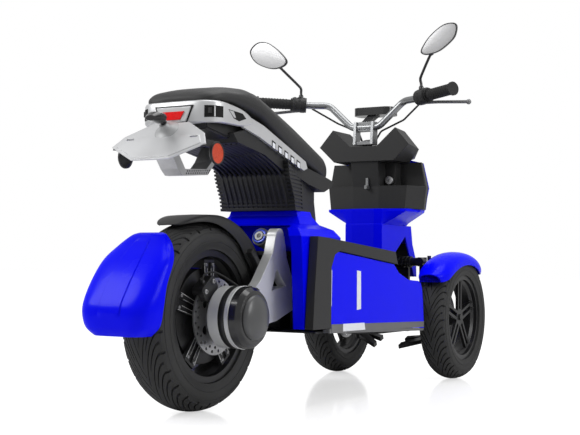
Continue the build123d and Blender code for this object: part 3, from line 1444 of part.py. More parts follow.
grip_end = Vector(*bar_points()[-1])
grip_root = Vector(*bar_points()[-2])
grip_dir = (grip_end - grip_root).normalized()
grip_r = 16.5
grip_length = 112.0
flange_r = 21.0
flange_t = 5.0
switch_length = 46.0
switch_r = 24.0


def along_grip(back):
    """The plane square to the grip, so far inboard of its end."""
    return Plane(origin=grip_end - grip_dir * back, z_dir=grip_dir)


with BuildPart() as grip:
    with BuildSketch(along_grip(grip_length)):
        Circle(grip_r)
    extrude(amount=grip_length + bar_r / 2)
    for back in (grip_length, -bar_r / 2 + flange_t):
        with BuildSketch(along_grip(back)):
            Circle(flange_r)
        extrude(amount=flange_t)
    add(bar.part, mode=Mode.SUBTRACT)
pair(grip, "grips")

with BuildPart() as switches:
    with BuildSketch(along_grip(grip_length + clearance + switch_length)):
        Circle(switch_r)
    extrude(amount=switch_length)
    add(bar.part, mode=Mode.SUBTRACT)
pair(switches, "switch_housings")

lever_r = 5.0
lever_shares = ((1.0200, 0.7800, 1.0600), (1.2170, 0.7848, 1.0606), (1.8160, 0.7342, 1.0424))
lever_ball_r = 8.0


def upper_point(shares):
    """A point from shares of half the track, the wheelbase and the seat's height."""
    return (shares[0] * wheel_x, station(shares[1] * wheelbase), shares[2] * seat_crown_z)


with BuildPart() as lever:
    points = [upper_point(row) for row in lever_shares]
    with BuildLine() as lever_line:
        FilletPolyline(*points, radius=lever_r * 4)
    with BuildSketch(Plane(origin=lever_line.line @ 0, z_dir=lever_line.line % 0)):
        Circle(lever_r)
    sweep(path=lever_line.line)
    with Locations(points[-1]):
        Sphere(lever_ball_r)
    add(switches.part, mode=Mode.SUBTRACT)
    add(bar.part, mode=Mode.SUBTRACT)
pair(lever, "brake_levers")

mirror_shares = ((1.0094, 0.7662, 1.0950), (1.0094, 0.7662, 1.1300), (1.0000, 0.7620, 1.1467), (1.2700, 0.7200, 1.2300))
mirror_stem_r = 5.0
head_shares = (  # of half the track and the seat's height
    (1.094, 1.2485), (1.264, 1.3030), (1.533, 1.3333), (1.660, 1.3333), (1.736, 1.3030), (1.651, 1.2667),
    (1.335, 1.2218), (1.156, 1.2267),
)
mirror_station_share = 0.7156
mirror_t = 14.0
glass_inset = 4.0
glass_t = 1.5


def mirror_outline():
    return [(a * wheel_x, b * seat_crown_z) for a, b in head_shares]


with BuildPart() as mirror_glass:
    with BuildSketch(across(mirror_station_share * wheelbase)):
        Polygon(*mirror_outline(), align=None)
        offset(amount=-glass_inset, mode=Mode.REPLACE)
    extrude(amount=-glass_t)
pair(mirror_glass, "mirror_glasses")

with BuildPart() as mirror_head:
    with BuildSketch(across(mirror_station_share * wheelbase)):
        Polygon(*mirror_outline(), align=None)
    extrude(amount=-mirror_t, taper=18)
    points = [upper_point(row) for row in mirror_shares]
    with BuildLine() as mirror_line:
        FilletPolyline(*points, radius=mirror_stem_r * 2)
    with BuildSketch(Plane(origin=mirror_line.line @ 0, z_dir=mirror_line.line % 0)):
        Circle(mirror_stem_r)
    sweep(path=mirror_line.line)
    with Locations(points[-1]):
        Sphere(mirror_stem_r * 1.6)
    add(mirror_glass.part, mode=Mode.SUBTRACT)
    add(switches.part, mode=Mode.SUBTRACT)
    add(bar.part, mode=Mode.SUBTRACT)
pair(mirror_head, "mirrors")

clamp_x = 26.0
clamp_t = 9.0
clamp_low = 754.0
clamp_top = 828.0
clamp_depth = 26.0
bridge_h = 10.0
clamp_shares = ((0.7873, 0.9140), (0.8190, 0.9140), (0.8190, 1.0040), (0.7930, 1.0040))
with BuildPart() as clamp:
    for x in (clamp_x, -clamp_x - clamp_t):
        with BuildSketch(side_sketch(x)):
            Polygon(*side_points(clamp_shares), align=None)
        extrude(amount=clamp_t)
    with BuildSketch(Plane.XY.offset(clamp_low)):
        with Locations((0, station(stem_station + clamp_t))):
            Rectangle(clamp_x * 2 + clamp_t, clamp_depth * 1.6)
    extrude(amount=bridge_h)
    with BuildSketch(Plane.XY.offset(clamp_top - bridge_h * 3)):
        with Locations((0, station(stem_station + clamp_t))):
            Rectangle(clamp_x * 2 + clamp_t, clamp_depth)
    extrude(amount=bridge_h * 3)
    add(bar.part, mode=Mode.SUBTRACT)
    add(stem.part, mode=Mode.SUBTRACT)
finish(clamp, "bar_clamp")

display_station = 1030.0
display_half = 69.0
display_depth = 74.0
display_z = 856.0
display_h = 26.0
post_w = 30.0
post_shares = ((0.8050, 1.0045), (0.8240, 1.0045), (0.8790, 1.0430), (0.8500, 1.0430))
with BuildPart() as display:
    with BuildSketch(Plane.XY.offset(display_z)):
        with Locations((0, station(display_station))):
            RectangleRounded(display_half * 2, display_depth, display_h)
    extrude(amount=display_h)
    with BuildSketch(side_sketch(-post_w / 2)):
        Polygon(*side_points(post_shares), align=None)
    extrude(amount=post_w)
    add(clamp.part, mode=Mode.SUBTRACT)
finish(display, "display")

hose_r = 3.0
hose_shares = (
    (0.93, 0.8040, 1.0700), (0.56, 0.8350, 1.0100), (0.19, 0.8320, 0.9700), (0.10, 0.8250, 0.9250),
)
with BuildPart() as hose:
    with BuildLine() as hose_line:
        FilletPolyline(*[upper_point(row) for row in hose_shares], radius=hose_r * 6)
    with BuildSketch(Plane(origin=hose_line.line @ 0, z_dir=hose_line.line % 0)):
        Circle(hose_r)
    sweep(path=hose_line.line)
    add(clamp.part, mode=Mode.SUBTRACT)
    add(switches.part, mode=Mode.SUBTRACT)
pair(hose, "brake_hoses")
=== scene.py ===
"""Looks of a three-wheeled electric scooter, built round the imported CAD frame."""
import json
import math

import bmesh
import bpy
from mathutils import Matrix, Vector


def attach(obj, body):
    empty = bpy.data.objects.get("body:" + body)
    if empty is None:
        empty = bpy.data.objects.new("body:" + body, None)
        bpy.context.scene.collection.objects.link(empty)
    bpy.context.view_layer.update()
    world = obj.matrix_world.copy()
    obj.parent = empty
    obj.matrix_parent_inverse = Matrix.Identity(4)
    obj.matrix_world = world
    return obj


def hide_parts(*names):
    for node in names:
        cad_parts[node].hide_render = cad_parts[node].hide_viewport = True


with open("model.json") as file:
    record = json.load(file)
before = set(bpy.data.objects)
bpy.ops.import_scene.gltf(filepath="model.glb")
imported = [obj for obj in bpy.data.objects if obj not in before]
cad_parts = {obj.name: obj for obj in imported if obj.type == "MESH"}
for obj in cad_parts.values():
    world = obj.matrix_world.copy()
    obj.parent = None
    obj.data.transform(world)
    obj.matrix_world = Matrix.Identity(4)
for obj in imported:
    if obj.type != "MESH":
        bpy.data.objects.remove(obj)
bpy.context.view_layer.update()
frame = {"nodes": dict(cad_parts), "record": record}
NODES = frame["nodes"]
SLOT_OF = {s["node"]: s["material_slot"] for s in frame["record"]["subparts"]}

REAR_AXLE = Vector((0, -0.525, 0.2365))
FRONT_AXLE = Vector((0.212, 0.660, 0.200))
SIDES = (("left", -1), ("right", 1))


# Materials
def set_inputs(node, **values):
    """Sets a shader node's inputs; an underscore stands for a space in their names."""
    for name, value in values.items():
        node.inputs[name.replace("_", " ")].default_value = value
    return node


def add_bump(tree, height, depth):
    """A bump node over a height."""
    bump = set_inputs(tree.nodes.new("ShaderNodeBump"), Strength=depth, Distance=0.001)
    tree.links.new(height, bump.inputs["Height"])
    return bump


def relief(tree, place, grain, grain_depth, cells, wave, edge):
    """The surface's normal: a fine grain over turning marks, or over edges rounded in the shading."""
    fine = tree.nodes.new("ShaderNodeTexVoronoi" if cells else "ShaderNodeTexNoise")
    set_inputs(fine, Scale=grain)
    if not cells:
        set_inputs(fine, Detail=2.0)
    tree.links.new(place, fine.inputs["Vector"])
    bump = add_bump(tree, fine.outputs["Distance" if cells else "Fac"], grain_depth)
    if wave:
        scale, distortion, depth = wave
        marks = set_inputs(tree.nodes.new("ShaderNodeTexWave"), Scale=scale, Distortion=distortion)
        tree.links.new(place, marks.inputs["Vector"])
        tree.links.new(add_bump(tree, marks.outputs["Fac"], depth).outputs["Normal"], bump.inputs["Normal"])
    if edge:
        soft = set_inputs(tree.nodes.new("ShaderNodeBevel"), Radius=edge)
        soft.samples = 4
        tree.links.new(soft.outputs["Normal"], bump.inputs["Normal"])
    return bump.outputs["Normal"]


def material(name, colour, rough=0.5, metallic=0.0, specular=0.5, coat=0.0, coat_rough=0.05,
             vary=0.12, vary_scale=6.0, rough_vary=0.08, grain=900.0, grain_depth=0.02, cells=False,
             edge=0.0, emission=0.0, wave=None):
    """A procedural surface: mottled colour, uneven gloss and relief."""
    made = bpy.data.materials.new(name)
    made.use_nodes = True
    tree = made.node_tree
    link = tree.links.new
    shader = tree.nodes["Principled BSDF"]
    set_inputs(shader, Metallic=metallic, Specular_IOR_Level=specular)
    set_inputs(shader, Coat_Weight=coat, Coat_Roughness=coat_rough)
    place = tree.nodes.new("ShaderNodeTexCoord").outputs["Object"]
    broad = set_inputs(tree.nodes.new("ShaderNodeTexNoise"), Scale=vary_scale, Detail=5.0)
    link(place, broad.inputs["Vector"])
    ramp = tree.nodes.new("ShaderNodeValToRGB")
    for stop, position, tint in zip(ramp.color_ramp.elements, (0.3, 0.7), (1 - vary, 1 + vary)):
        stop.position = position
        stop.color = (*(min(1.0, c * tint) for c in colour), 1)
    link(broad.outputs["Fac"], ramp.inputs["Fac"])
    link(ramp.outputs["Color"], shader.inputs["Base Color"])
    gloss = tree.nodes.new("ShaderNodeMapRange")
    set_inputs(gloss, To_Min=max(0.02, rough - rough_vary), To_Max=min(1.0, rough + rough_vary))
    link(broad.outputs["Fac"], gloss.inputs["Value"])
    link(gloss.outputs["Result"], shader.inputs["Roughness"])
    link(relief(tree, place, grain, grain_depth, cells, wave, edge), shader.inputs["Normal"])
    if emission:
        link(ramp.outputs["Color"], shader.inputs["Emission Color"])
        set_inputs(shader, Emission_Strength=emission)
    return made


LOOKS = {
    "blue_panel": dict(
        colour=(0.001, 0.002, 0.84), rough=0.26, specular=0.05, coat=0.035, coat_rough=0.08,
        vary=0.03, grain=60, grain_depth=0.02, edge=0.003),
    "black_plastic": dict(
        colour=(0.013, 0.013, 0.0135), rough=0.48, specular=0.35,
        vary=0.15, grain=1400, grain_depth=0.10, edge=0.0022),
    "black_gloss": dict(
        colour=(0.010, 0.010, 0.011), rough=0.22, specular=0.4, coat=0.3,
        vary=0.1, grain=200, grain_depth=0.03, edge=0.002),
    "black_metal": dict(
        colour=(0.016, 0.016, 0.017), rough=0.34, metallic=0.25, specular=0.4,
        vary=0.2, grain=700, grain_depth=0.08, edge=0.0015),
    "silver_paint": dict(
        colour=(0.56, 0.565, 0.575), rough=0.36, metallic=0.55,
        vary=0.06, grain=2400, grain_depth=0.06, edge=0.0022),
    "cast_silver": dict(
        colour=(0.66, 0.665, 0.67), rough=0.40, metallic=0.45,
        vary=0.08, grain=900, grain_depth=0.18, edge=0.0018),
    "polished": dict(
        colour=(0.26, 0.265, 0.27), rough=0.30, metallic=0.80,
        vary=0.08, grain=300, grain_depth=0.03, edge=0.0012),
    "steel": dict(
        colour=(0.36, 0.36, 0.37), rough=0.32, metallic=0.85,
        vary=0.15, vary_scale=20, grain=500, grain_depth=0.05, wave=(60, 3, 0.05)),
    "tyre": dict(
        colour=(0.020, 0.020, 0.020), rough=0.66, specular=0.4,
        vary=0.25, vary_scale=14, grain=700, grain_depth=0.20),
    "grip_rubber": dict(
        colour=(0.014, 0.014, 0.014), rough=0.66, specular=0.3,
        vary=0.15, grain=1100, grain_depth=0.25),
    "seat_cover": dict(
        colour=(0.016, 0.016, 0.0165), rough=0.50, specular=0.35,
        vary=0.14, vary_scale=9, grain=620, grain_depth=0.30, cells=True),
    "red_lens": dict(
        colour=(0.72, 0.001, 0.002), rough=0.22, specular=0.2, coat=0.15,
        vary=0.12, vary_scale=60, grain=260, grain_depth=0.5, cells=True, emission=0.10),
    "amber_lens": dict(
        colour=(0.50, 0.040, 0.006), rough=0.30, specular=0.3, coat=0.1,
        vary=0.12, vary_scale=80, grain=420, grain_depth=0.7, cells=True),
    "clear_lens": dict(
        colour=(0.72, 0.74, 0.76), rough=0.12, coat=0.8,
        vary=0.06, grain=240, grain_depth=0.3, cells=True),
    "mirror_glass": dict(
        colour=(0.46, 0.46, 0.465), rough=0.30, metallic=0.35,
        vary=0.10, vary_scale=3.0, rough_vary=0.02, grain=30, grain_depth=0.0),
    "satin_grey": dict(
        colour=(0.060, 0.061, 0.063), rough=0.34, vary=0.05, grain=1200, grain_depth=0.04),
    "dull_silver": dict(
        colour=(0.34, 0.345, 0.35), rough=0.50, metallic=0.3, vary=0.08, grain=900, grain_depth=0.06),
    "dull_steel": dict(
        colour=(0.17, 0.17, 0.175), rough=0.42, metallic=0.6, vary=0.12, grain=700, grain_depth=0.08),
    "dark_hole": dict(
        colour=(0.006, 0.006, 0.006), rough=0.70, specular=0.2, vary=0.1, grain=800, grain_depth=0.05),
    "blue_spring": dict(
        colour=(0.010, 0.040, 0.42), rough=0.30, metallic=0.3, coat=0.3,
        vary=0.06, grain=500, grain_depth=0.04),
    # Pale paint for stripes and trim windows, also used for painted highlights and reflections on the body's
    # sides
    "white_paint_and_highlight": dict(
        colour=(0.74, 0.76, 0.80), rough=0.35, vary=0.03, grain=600, grain_depth=0.03),
    "battery_case": dict(
        colour=(0.06, 0.06, 0.065), rough=0.6, vary=0.1, grain=900, grain_depth=0.15),
}
MATERIALS = {name: material(name, **look) for name, look in LOOKS.items()}
DULL_NODES = ("brake_levers", "sills")

for node, obj in NODES.items():
    obj.data.materials.clear()
    obj.data.materials.append(MATERIALS["dull_steel" if node in DULL_NODES else SLOT_OF[node]])


# Outlines and directions
def spline(points, samples, closed=False):
    """Catmull-Rom points through the given ones, which have two to four values each."""
    points = [Vector(p) for p in points]
    count = len(points)
    out = []
    for i in range(count if closed else count - 1):
        if closed:
            a, b, c, d = (points[(i + k - 1) % count] for k in range(4))
        else:
            a, b, c, d = (points[min(max(i + k - 1, 0), count - 1)] for k in range(4))
        for k in range(samples):
            t = k / samples
            out.append(0.5 * (2 * b + (c - a) * t + (2 * a - 5 * b + 4 * c - d) * t * t
                              + (3 * b - a - 3 * c + d) * t ** 3))
    if not closed:
        out.append(points[-1])
    return out


def mirrored(half):
    """A half outline that ends in the middle, and its other half."""
    return half + [(-x, y) for x, y in reversed(half[:-1])]


def circle(side, other, count):
    """Unit directions round a circle, from side towards other."""
    turns = (2 * math.pi * k / count for k in range(count))
    return [side * math.cos(a) + other * math.sin(a) for a in turns]


def spoke(degrees):
    """The direction out from an axle: degrees from forward, upwards."""
    a = math.radians(degrees)
    return Vector((0, math.cos(a), math.sin(a)))


def wheel_point(axle, x, radius, degrees):
    """A point on a wheel, in the plane x."""
    return Vector((x, axle.y, axle.z)) + spoke(degrees) * radius


def on_side(axle, sign):
    """A right-hand place, or its twin on the left where the sign is -1."""
    return Vector((axle.x * sign, axle.y, axle.z))


# Mesh helpers: each gives points and faces
TIP_R = 0.00002


def ring_mesh(rings, ends=True):
    """Quads between equal rings of points, and a face over each end."""
    verts = [p for ring in rings for p in ring]
    n = len(rings[0])
    faces = []
    for r in range(len(rings) - 1):
        for i in range(n):
            j = (i + 1) % n
            faces.append((r * n + i, r * n + j, (r + 1) * n + j, (r + 1) * n + i))
    if ends:
        faces.append(tuple(reversed(range(n))))
        faces.append(tuple((len(rings) - 1) * n + i for i in range(n)))
    return verts, faces


def tube(path, radius, sides):
    """A rod along a path; its rings turn as little as possible from one to the next."""
    path = [Vector(p) for p in path]
    last = len(path) - 1
    rings = []
    side = (path[1] - path[0]).orthogonal().normalized()
    for i, p in enumerate(path):
        ahead = (path[min(i + 1, last)] - path[max(i - 1, 0)]).normalized()
        side = (side - ahead * side.dot(ahead)).normalized()
        size = radius(i / last) if callable(radius) else radius
        rings.append([p + out * size for out in circle(side, ahead.cross(side), sides)])
    return ring_mesh(rings)


def lathe(centre, axis, profile, sides=48, ends=True):
    """Turns rows of (distance along the axis, radius) round it."""
    axis = Vector(axis).normalized()
    side = axis.orthogonal().normalized()
    round_axis = circle(side, axis.cross(side), sides)
    rings = [[Vector(centre) + axis * along + out * max(radius, TIP_R) for out in round_axis]
             for along, radius in profile]
    return ring_mesh(rings, ends)


def plate(outline, push, bevel=0.0006):
    """An outline pushed into a sheet with rounded edges."""
    work = bmesh.new()
    face = work.faces.new([work.verts.new(Vector(p)) for p in outline])
    made = bmesh.ops.extrude_face_region(work, geom=[face])
    moved = [v for v in made["geom"] if isinstance(v, bmesh.types.BMVert)]
    bmesh.ops.translate(work, verts=moved, vec=Vector(push))
    bmesh.ops.recalc_face_normals(work, faces=work.faces)
    if bevel:
        bmesh.ops.bevel(work, geom=work.edges[:], offset=bevel, segments=2, affect="EDGES",
                        clamp_overlap=True)
    work.verts.index_update()
    verts = [v.co.copy() for v in work.verts]
    faces = [tuple(v.index for v in f.verts) for f in work.faces]
    work.free()
    return verts, faces


def side_plate(sign, x, outline, thick, bevel=0.0):
    """A sheet on one side of the body: its outline of (y, z), its plane and how far it stands out."""
    return plate([(x * sign, y, z) for y, z in outline], (thick * sign, 0, 0), bevel)


def bolt(centre, axis, radius, height):
    """A socket-head bolt: bevelled rim and a recess."""
    return lathe(centre, axis, [
        (0, radius * 0.96), (height * 0.75, radius), (height, radius * 0.86),
        (height, radius * 0.50), (height * 0.45, radius * 0.46), (height * 0.45, 0)], 18)


def merged(parts):
    """One list of points and one of faces from several meshes."""
    verts, faces = [], []
    for part_verts, part_faces in parts:
        base = len(verts)
        verts += [Vector(p) for p in part_verts]
        faces += [tuple(i + base for i in face) for face in part_faces]
    return verts, faces


# Objects in the scene
def add_mesh(name, verts, faces, slot, body, replaces=()):
    """A mesh in the shared frame, in metres, riding on a CAD body."""
    mesh = bpy.data.meshes.new(name)
    mesh.from_pydata([tuple(v) for v in verts], [], faces)
    mesh.validate()
    mesh.update()
    for polygon in mesh.polygons:
        polygon.use_smooth = True
    obj = bpy.data.objects.new(name, mesh)
    bpy.context.scene.collection.objects.link(obj)
    obj.data.materials.append(MATERIALS[slot])
    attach(obj, body)
    if replaces:
        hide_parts(*replaces)
    return obj


def mark_sharp(obj, degrees):
    """Smooth shading that breaks at edges sharper than the angle."""
    limit = math.radians(degrees)
    work = bmesh.new()
    work.from_mesh(obj.data)
    for edge in work.edges:
        edge.smooth = not (edge.is_manifold and edge.calc_face_angle(0) > limit)
    work.normal_update()
    bmesh.ops.recalc_face_normals(work, faces=work.faces)
    work.to_mesh(obj.data)
    work.free()


def shown(name, parts, slot, body, paint=None, sharp=40, replaces=()):
    """Several meshes as one piece, with its own paint where the record's slot has another tint."""
    obj = add_mesh(name, *merged(parts), slot, body, replaces)
    if paint:
        obj.data.materials[0] = MATERIALS[paint]
    mark_sharp(obj, sharp)


# Tyres with their tread
SIDEWALL_LINES = (0.28, 0.58, 0.72)  # shares of the section's height
GROOVES = ((0.08, 1.16, 0.0060), (0.40, 1.04, 0.0052))  # from, to, as shares of the crown's half width; depth
GROOVE_STEPS = (0.0, 0.016, 0.120, 0.136, 0.31)  # shares of a pitch: edge, floor, floor, edge, block
CROWN_ROWS = 11


def tyre_profile(outer, width, seat, bead):
    """Points of (x, radius) from bead to bead: sidewalls with thin raised lines, and a round crown."""
    section = outer - seat
    shoulder = (width * 0.40, outer - section * 0.20)
    bulge = (width / 2, seat + section * 0.46)
    side = spline([
        (bead, seat), (bead * 1.02, seat + 0.006), (bulge[0] * 0.985, seat + section * 0.26),
        bulge, (bulge[0] * 0.95, seat + section * 0.66), shoulder], 3)
    half = []
    for p, q in zip(side, side[1:]):
        half.append((p.x, p.y))
        for share in SIDEWALL_LINES:
            line = seat + section * share
            if p.y < line <= q.y:
                x = p.x + (q.x - p.x) * (line - p.y) / (q.y - p.y)
                half += [(x + out, line + up) for out, up in (
                    (0.0, -0.0013), (0.0010, -0.0008), (0.0010, 0.0008), (0.0, 0.0013))]
    half.append((side[-1].x, side[-1].y))
    drop = outer - shoulder[1]
    radius = (shoulder[0] ** 2 + drop ** 2) / (2 * drop)
    span = math.asin(shoulder[0] / radius)
    turns = [span * (1 - k / CROWN_ROWS) for k in range(1, 2 * CROWN_ROWS)]
    crown = [(radius * math.sin(a), outer - radius + radius * math.cos(a)) for a in turns]
    return half + crown + [(-x, r) for x, r in reversed(half)]


def tyre(name, node, body, axle, outer, width, seat, bead, pitches, sweep):
    """The CAD tyre's section with slanted grooves cut inward; long and short ones take turns on a side."""
    profile = tyre_profile(outer, width, seat, bead)
    tread_foot = outer - (outer - seat) * 0.30
    steps = range(len(GROOVE_STEPS))
    columns = [(pitch, group, step) for pitch in range(pitches) for group in (0, 1) for step in steps]
    rings = []
    for pitch, group, step in columns:
        ring = []
        for x, r in profile:
            across = x / (width * 0.40)
            share = min(abs(across), 1.2)
            place = (pitch + 0.5 * group + GROOVE_STEPS[step]) / pitches
            angle = place * 2 * math.pi + sweep * max(0.0, 1 - share) ** 1.5
            start, end, depth = GROOVES[group if across >= 0 else 1 - group]
            if step in (1, 2) and r > tread_foot and start < share < end:
                r -= depth
            ring.append(axle + Vector((x, r * math.cos(angle), r * math.sin(angle))))
        rings.append(ring)
    verts, faces = ring_mesh(rings, False)
    total = len(profile)
    last = len(verts) - total
    faces += [(last + j, last + (j + 1) % total, (j + 1) % total, j) for j in range(total)]
    shown(name, [(verts, faces)], "tyre", body, sharp=35, replaces=(node,))


tyre("rear_tyre_treaded", "rear_tyre", "rear_wheel", REAR_AXLE,
     outer=0.2365, width=0.122, seat=0.165, bead=0.054, pitches=27, sweep=0.62)
for label, sign in SIDES:
    tyre(f"front_tyre_treaded_{label}", f"front_tyre_{label}", f"front_wheel_{label}",
         on_side(FRONT_AXLE, sign),
         outer=0.200, width=0.090, seat=0.137, bead=0.040, pitches=26, sweep=0.36)


# Seat: a moulded foam saddle under a vinyl cover
SEAT_ROWS = (  # forward, half width, underside, crown
    (-0.622, 0.066, 0.754, 0.776), (-0.613, 0.090, 0.754, 0.788), (-0.598, 0.105, 0.754, 0.798),
    (-0.570, 0.114, 0.754, 0.807), (-0.525, 0.119, 0.753, 0.815), (-0.475, 0.124, 0.746, 0.823),
    (-0.430, 0.128, 0.737, 0.823), (-0.382, 0.129, 0.724, 0.814),
    (-0.221, 0.122, 0.660, 0.767),
    (-0.046, 0.100, 0.619, 0.712), (0.035, 0.078, 0.604, 0.690), (0.075, 0.048, 0.620, 0.668),
)
SEAT_SECTION = (  # share of half width, share of thickness
    (0.0, 0.0), (0.86, 0.0), (1.0, 0.38), (0.90, 0.70), (0.72, 0.88), (0.36, 0.985),
    (0.0, 1.0), (-0.36, 0.985), (-0.72, 0.88), (-0.90, 0.70), (-1.0, 0.38), (-0.86, 0.0),
)
SEAT_ROOM = 0.004  # how far the foam stays inside the rows, so that the cover has room to swell
COVER_LIFT = 0.005
COVER_PRESSURE = 4.0
COVER_FRAMES = 20


def seat_end(ring, push):
    """A smaller copy of the last ring, which closes the saddle's nose or tail."""
    middle = sum(ring, Vector()) / len(ring)
    return [middle + (p - middle) * 0.72 + Vector((0, push, 0)) for p in ring]


def seat_rings():
    """Rings of the saddle, from the tail to the nose."""
    section = spline(SEAT_SECTION, 3, closed=True)
    rings = []
    for forward, half, underside, crown in spline(SEAT_ROWS, 5):
        half -= SEAT_ROOM
        low, high = underside + SEAT_ROOM * 0.3, crown - SEAT_ROOM
        rings.append([Vector((p.x * half, forward, low + (high - low) * max(p.y, 0.0))) for p in section])
    return [seat_end(rings[0], -0.003)] + rings + [seat_end(rings[-1], 0.003)]


def inflate(obj):
    """Lets air pressure swell the cover, holds every point within its lift, and keeps the result."""
    rest = [v.co.copy() for v in obj.data.vertices]
    cloth = obj.modifiers.new("cover", "CLOTH")
    cloth.settings.use_pressure = True
    cloth.settings.uniform_pressure_force = COVER_PRESSURE
    cloth.settings.effector_weights.gravity = 0
    cloth.settings.quality = 4
    cloth.point_cache.frame_start, cloth.point_cache.frame_end = 1, COVER_FRAMES
    for step in range(1, COVER_FRAMES + 1):
        bpy.context.scene.frame_set(step)
    shape = obj.evaluated_get(bpy.context.evaluated_depsgraph_get())
    moved = [v.co.copy() for v in shape.data.vertices]
    obj.modifiers.remove(cloth)
    bpy.context.scene.frame_set(1)
    for vertex, old, new in zip(obj.data.vertices, rest, moved):
        step = new - old
        vertex.co = old + (step if step.length <= COVER_LIFT else step.normalized() * COVER_LIFT)


seat = add_mesh("seat_cushion", *ring_mesh(seat_rings()), "seat_cover", "frame", replaces=("seat",))
inflate(seat)
rounding = seat.modifiers.new("rounding", "SUBSURF")
rounding.levels = rounding.render_levels = 2


# Mudguard: a smooth shell with a raised middle
GUARD_ROWS = (  # behind the axle, half width, height, how far the corners turn in
    (0.1860, 0.0340, 0.4385, 0.0050),
    (0.2003, 0.0511, 0.4315, 0.0119), (0.2263, 0.0766, 0.4067, 0.0249), (0.2619, 0.0977, 0.3713, 0.0356),
    (0.3040, 0.1039, 0.3168, 0.0450), (0.3345, 0.1039, 0.2648, 0.0640), (0.3325, 0.0960, 0.2230, 0.0600),
    (0.3240, 0.0710, 0.2000, 0.0500),
)
GUARD_CORNER = (  # share of half width, share of the turn-in
    (1.0, 1.0), (0.985, 0.80), (0.965, 0.58), (0.90, 0.30), (0.80, 0.14), (0.66, 0.045), (0.50, 0.010),
    (0.34, 0.0),
)
GUARD_WALL = 0.0038
PANEL_HALF = 0.295  # share of half width: the raised middle ends between two points of the outline
PANEL_TOP, PANEL_FOOT, PANEL_FADE = 0.20, 0.78, 0.03  # shares of the way down
PANEL_RISE = 0.0026
LIP_SHARE = 0.14  # the last part of the way down, which flares
LIP_OUT = 0.0035


def mudguard():
    """Rows of an outer skin and an inner one, from the top to the flared foot."""
    corner = [tuple(p) for p in spline(GUARD_CORNER, 3)]
    outline = mirrored(corner + [(a, 0.0) for a in (PANEL_HALF + 0.010, PANEL_HALF - 0.005, 0.15, 0.0)])
    rows = spline(GUARD_ROWS, 7)
    rings = []
    for i, (behind, half, height, turn_in) in enumerate(rows):
        share = i / (len(rows) - 1)
        inside = min(share - PANEL_TOP, PANEL_FOOT - share)
        rise = PANEL_RISE * max(0.0, min(1.0, inside / PANEL_FADE))
        lip = LIP_OUT * max(0.0, 1 - (1 - share) / LIP_SHARE) ** 2
        back = REAR_AXLE.y - behind + lip
        outer = [(a * half, back + b * turn_in - (rise if abs(a) < PANEL_HALF else 0.0), height)
                 for a, b in outline]
        inner = [(a * (half - GUARD_WALL), back + b * turn_in + GUARD_WALL, height) for a, b in outline]
        rings.append(outer + inner[::-1])
    shown("mudguard_shell", [ring_mesh(rings)], SLOT_OF["rear_mudguard"], "frame",
          replaces=("rear_mudguard",))


mudguard()

# Blades round an axle: the hugger over the rear wheel, and the front fenders as smooth domes
BLADE_WALL = 0.0030
HUGGER_R = 0.2515
HUGGER_ROWS = (  # degrees above forward, half width, skirt's lower edge as a share of the radius
    (-8, 0.072, 0.860), (12, 0.072, 0.840), (25, 0.072, 0.775), (39, 0.072, 0.760), (50, 0.072, 0.765),
    (65, 0.072, 0.815), (78, 0.072, 0.850), (90, 0.0715, 0.895), (100, 0.067, 0.935), (108, 0.058, 0.962),
    (114, 0.044, 0.980), (117, 0.030, 0.990),
)
HUGGER_LUG = ((0.2000, range(10, 53, 6)), (0.2150, range(52, 9, -6)))  # radius, degrees
FENDER_R = 0.332
FENDER_DROP = 0.118  # from the front axle down to the centre of the fender's arc
FENDER_ROWS = (  # degrees above forward, half width
    (55, 0.0200), (58, 0.0330), (63, 0.0440), (70, 0.0515), (80, 0.0540), (100, 0.0540),
    (116, 0.0535), (123, 0.0500), (127, 0.0430), (129, 0.0360),
)
FENDER_SECTION = (  # share of half width, drop below the crown
    (1.0, 0.0430), (1.0, 0.0300), (0.96, 0.0215), (0.86, 0.0130), (0.66, 0.0062), (0.34, 0.0015), (0.0, 0.0),
)


def blade_ring(centre, degrees, edge):
    """A closed ring across a thin blade; edge holds (x, radius) from its rim to the middle."""
    across = mirrored(edge)
    narrower = 1 - BLADE_WALL / edge[0][0]
    inner = [(x * narrower, r - BLADE_WALL) for x, r in across]
    inner[0] = (inner[0][0], across[0][1])
    inner[-1] = (inner[-1][0], across[-1][1])
    return [centre + Vector((x, 0, 0)) + spoke(degrees) * r for x, r in across + inner[::-1]]


def hugger():
    """The blade over the rear tyre, with a skirt that narrows to the rear, and its fixing lug."""
    rings = []
    for degrees, half, skirt_share in spline(HUGGER_ROWS, 5):
        skirt = HUGGER_R * (1 - skirt_share)
        soft = min(0.018, skirt * 0.7)
        edge = [(half - soft * inward, HUGGER_R - soft * down) for inward, down in (
            (0, 1), (0.10, 0.60), (0.34, 0.26), (0.75, 0.05))]
        edge = [(half, HUGGER_R - skirt)] + edge + [(half * 0.55, HUGGER_R), (0.0, HUGGER_R + 0.0008)]
        rings.append(blade_ring(REAR_AXLE, degrees, edge))
    lug = [wheel_point(REAR_AXLE, 0.0700, radius, a) for radius, degrees in HUGGER_LUG for a in degrees]
    shown("hugger_blade", [ring_mesh(rings), plate(lug, (0.0197, 0, 0), 0.0010)],
          SLOT_OF["hugger"], "frame", sharp=50, replaces=("hugger",))


def front_fender(label, sign):
    """A dome over a front tyre, which turns with its upright."""
    centre = on_side(FRONT_AXLE, sign) - Vector((0, 0, FENDER_DROP))
    section = spline(FENDER_SECTION, 3)
    rings = []
    for degrees, half in spline(FENDER_ROWS, 5):
        fold = min(1.0, half / 0.050)
        rings.append(blade_ring(centre, degrees, [(p.x * half, FENDER_R - p.y * fold) for p in section]))
    shown(f"front_fender_dome_{label}", [ring_mesh(rings)], "blue_panel", f"upright_{label}",
          sharp=50, replaces=(f"front_fender_{label}",))


hugger()
for label, sign in SIDES:
    front_fender(label, sign)


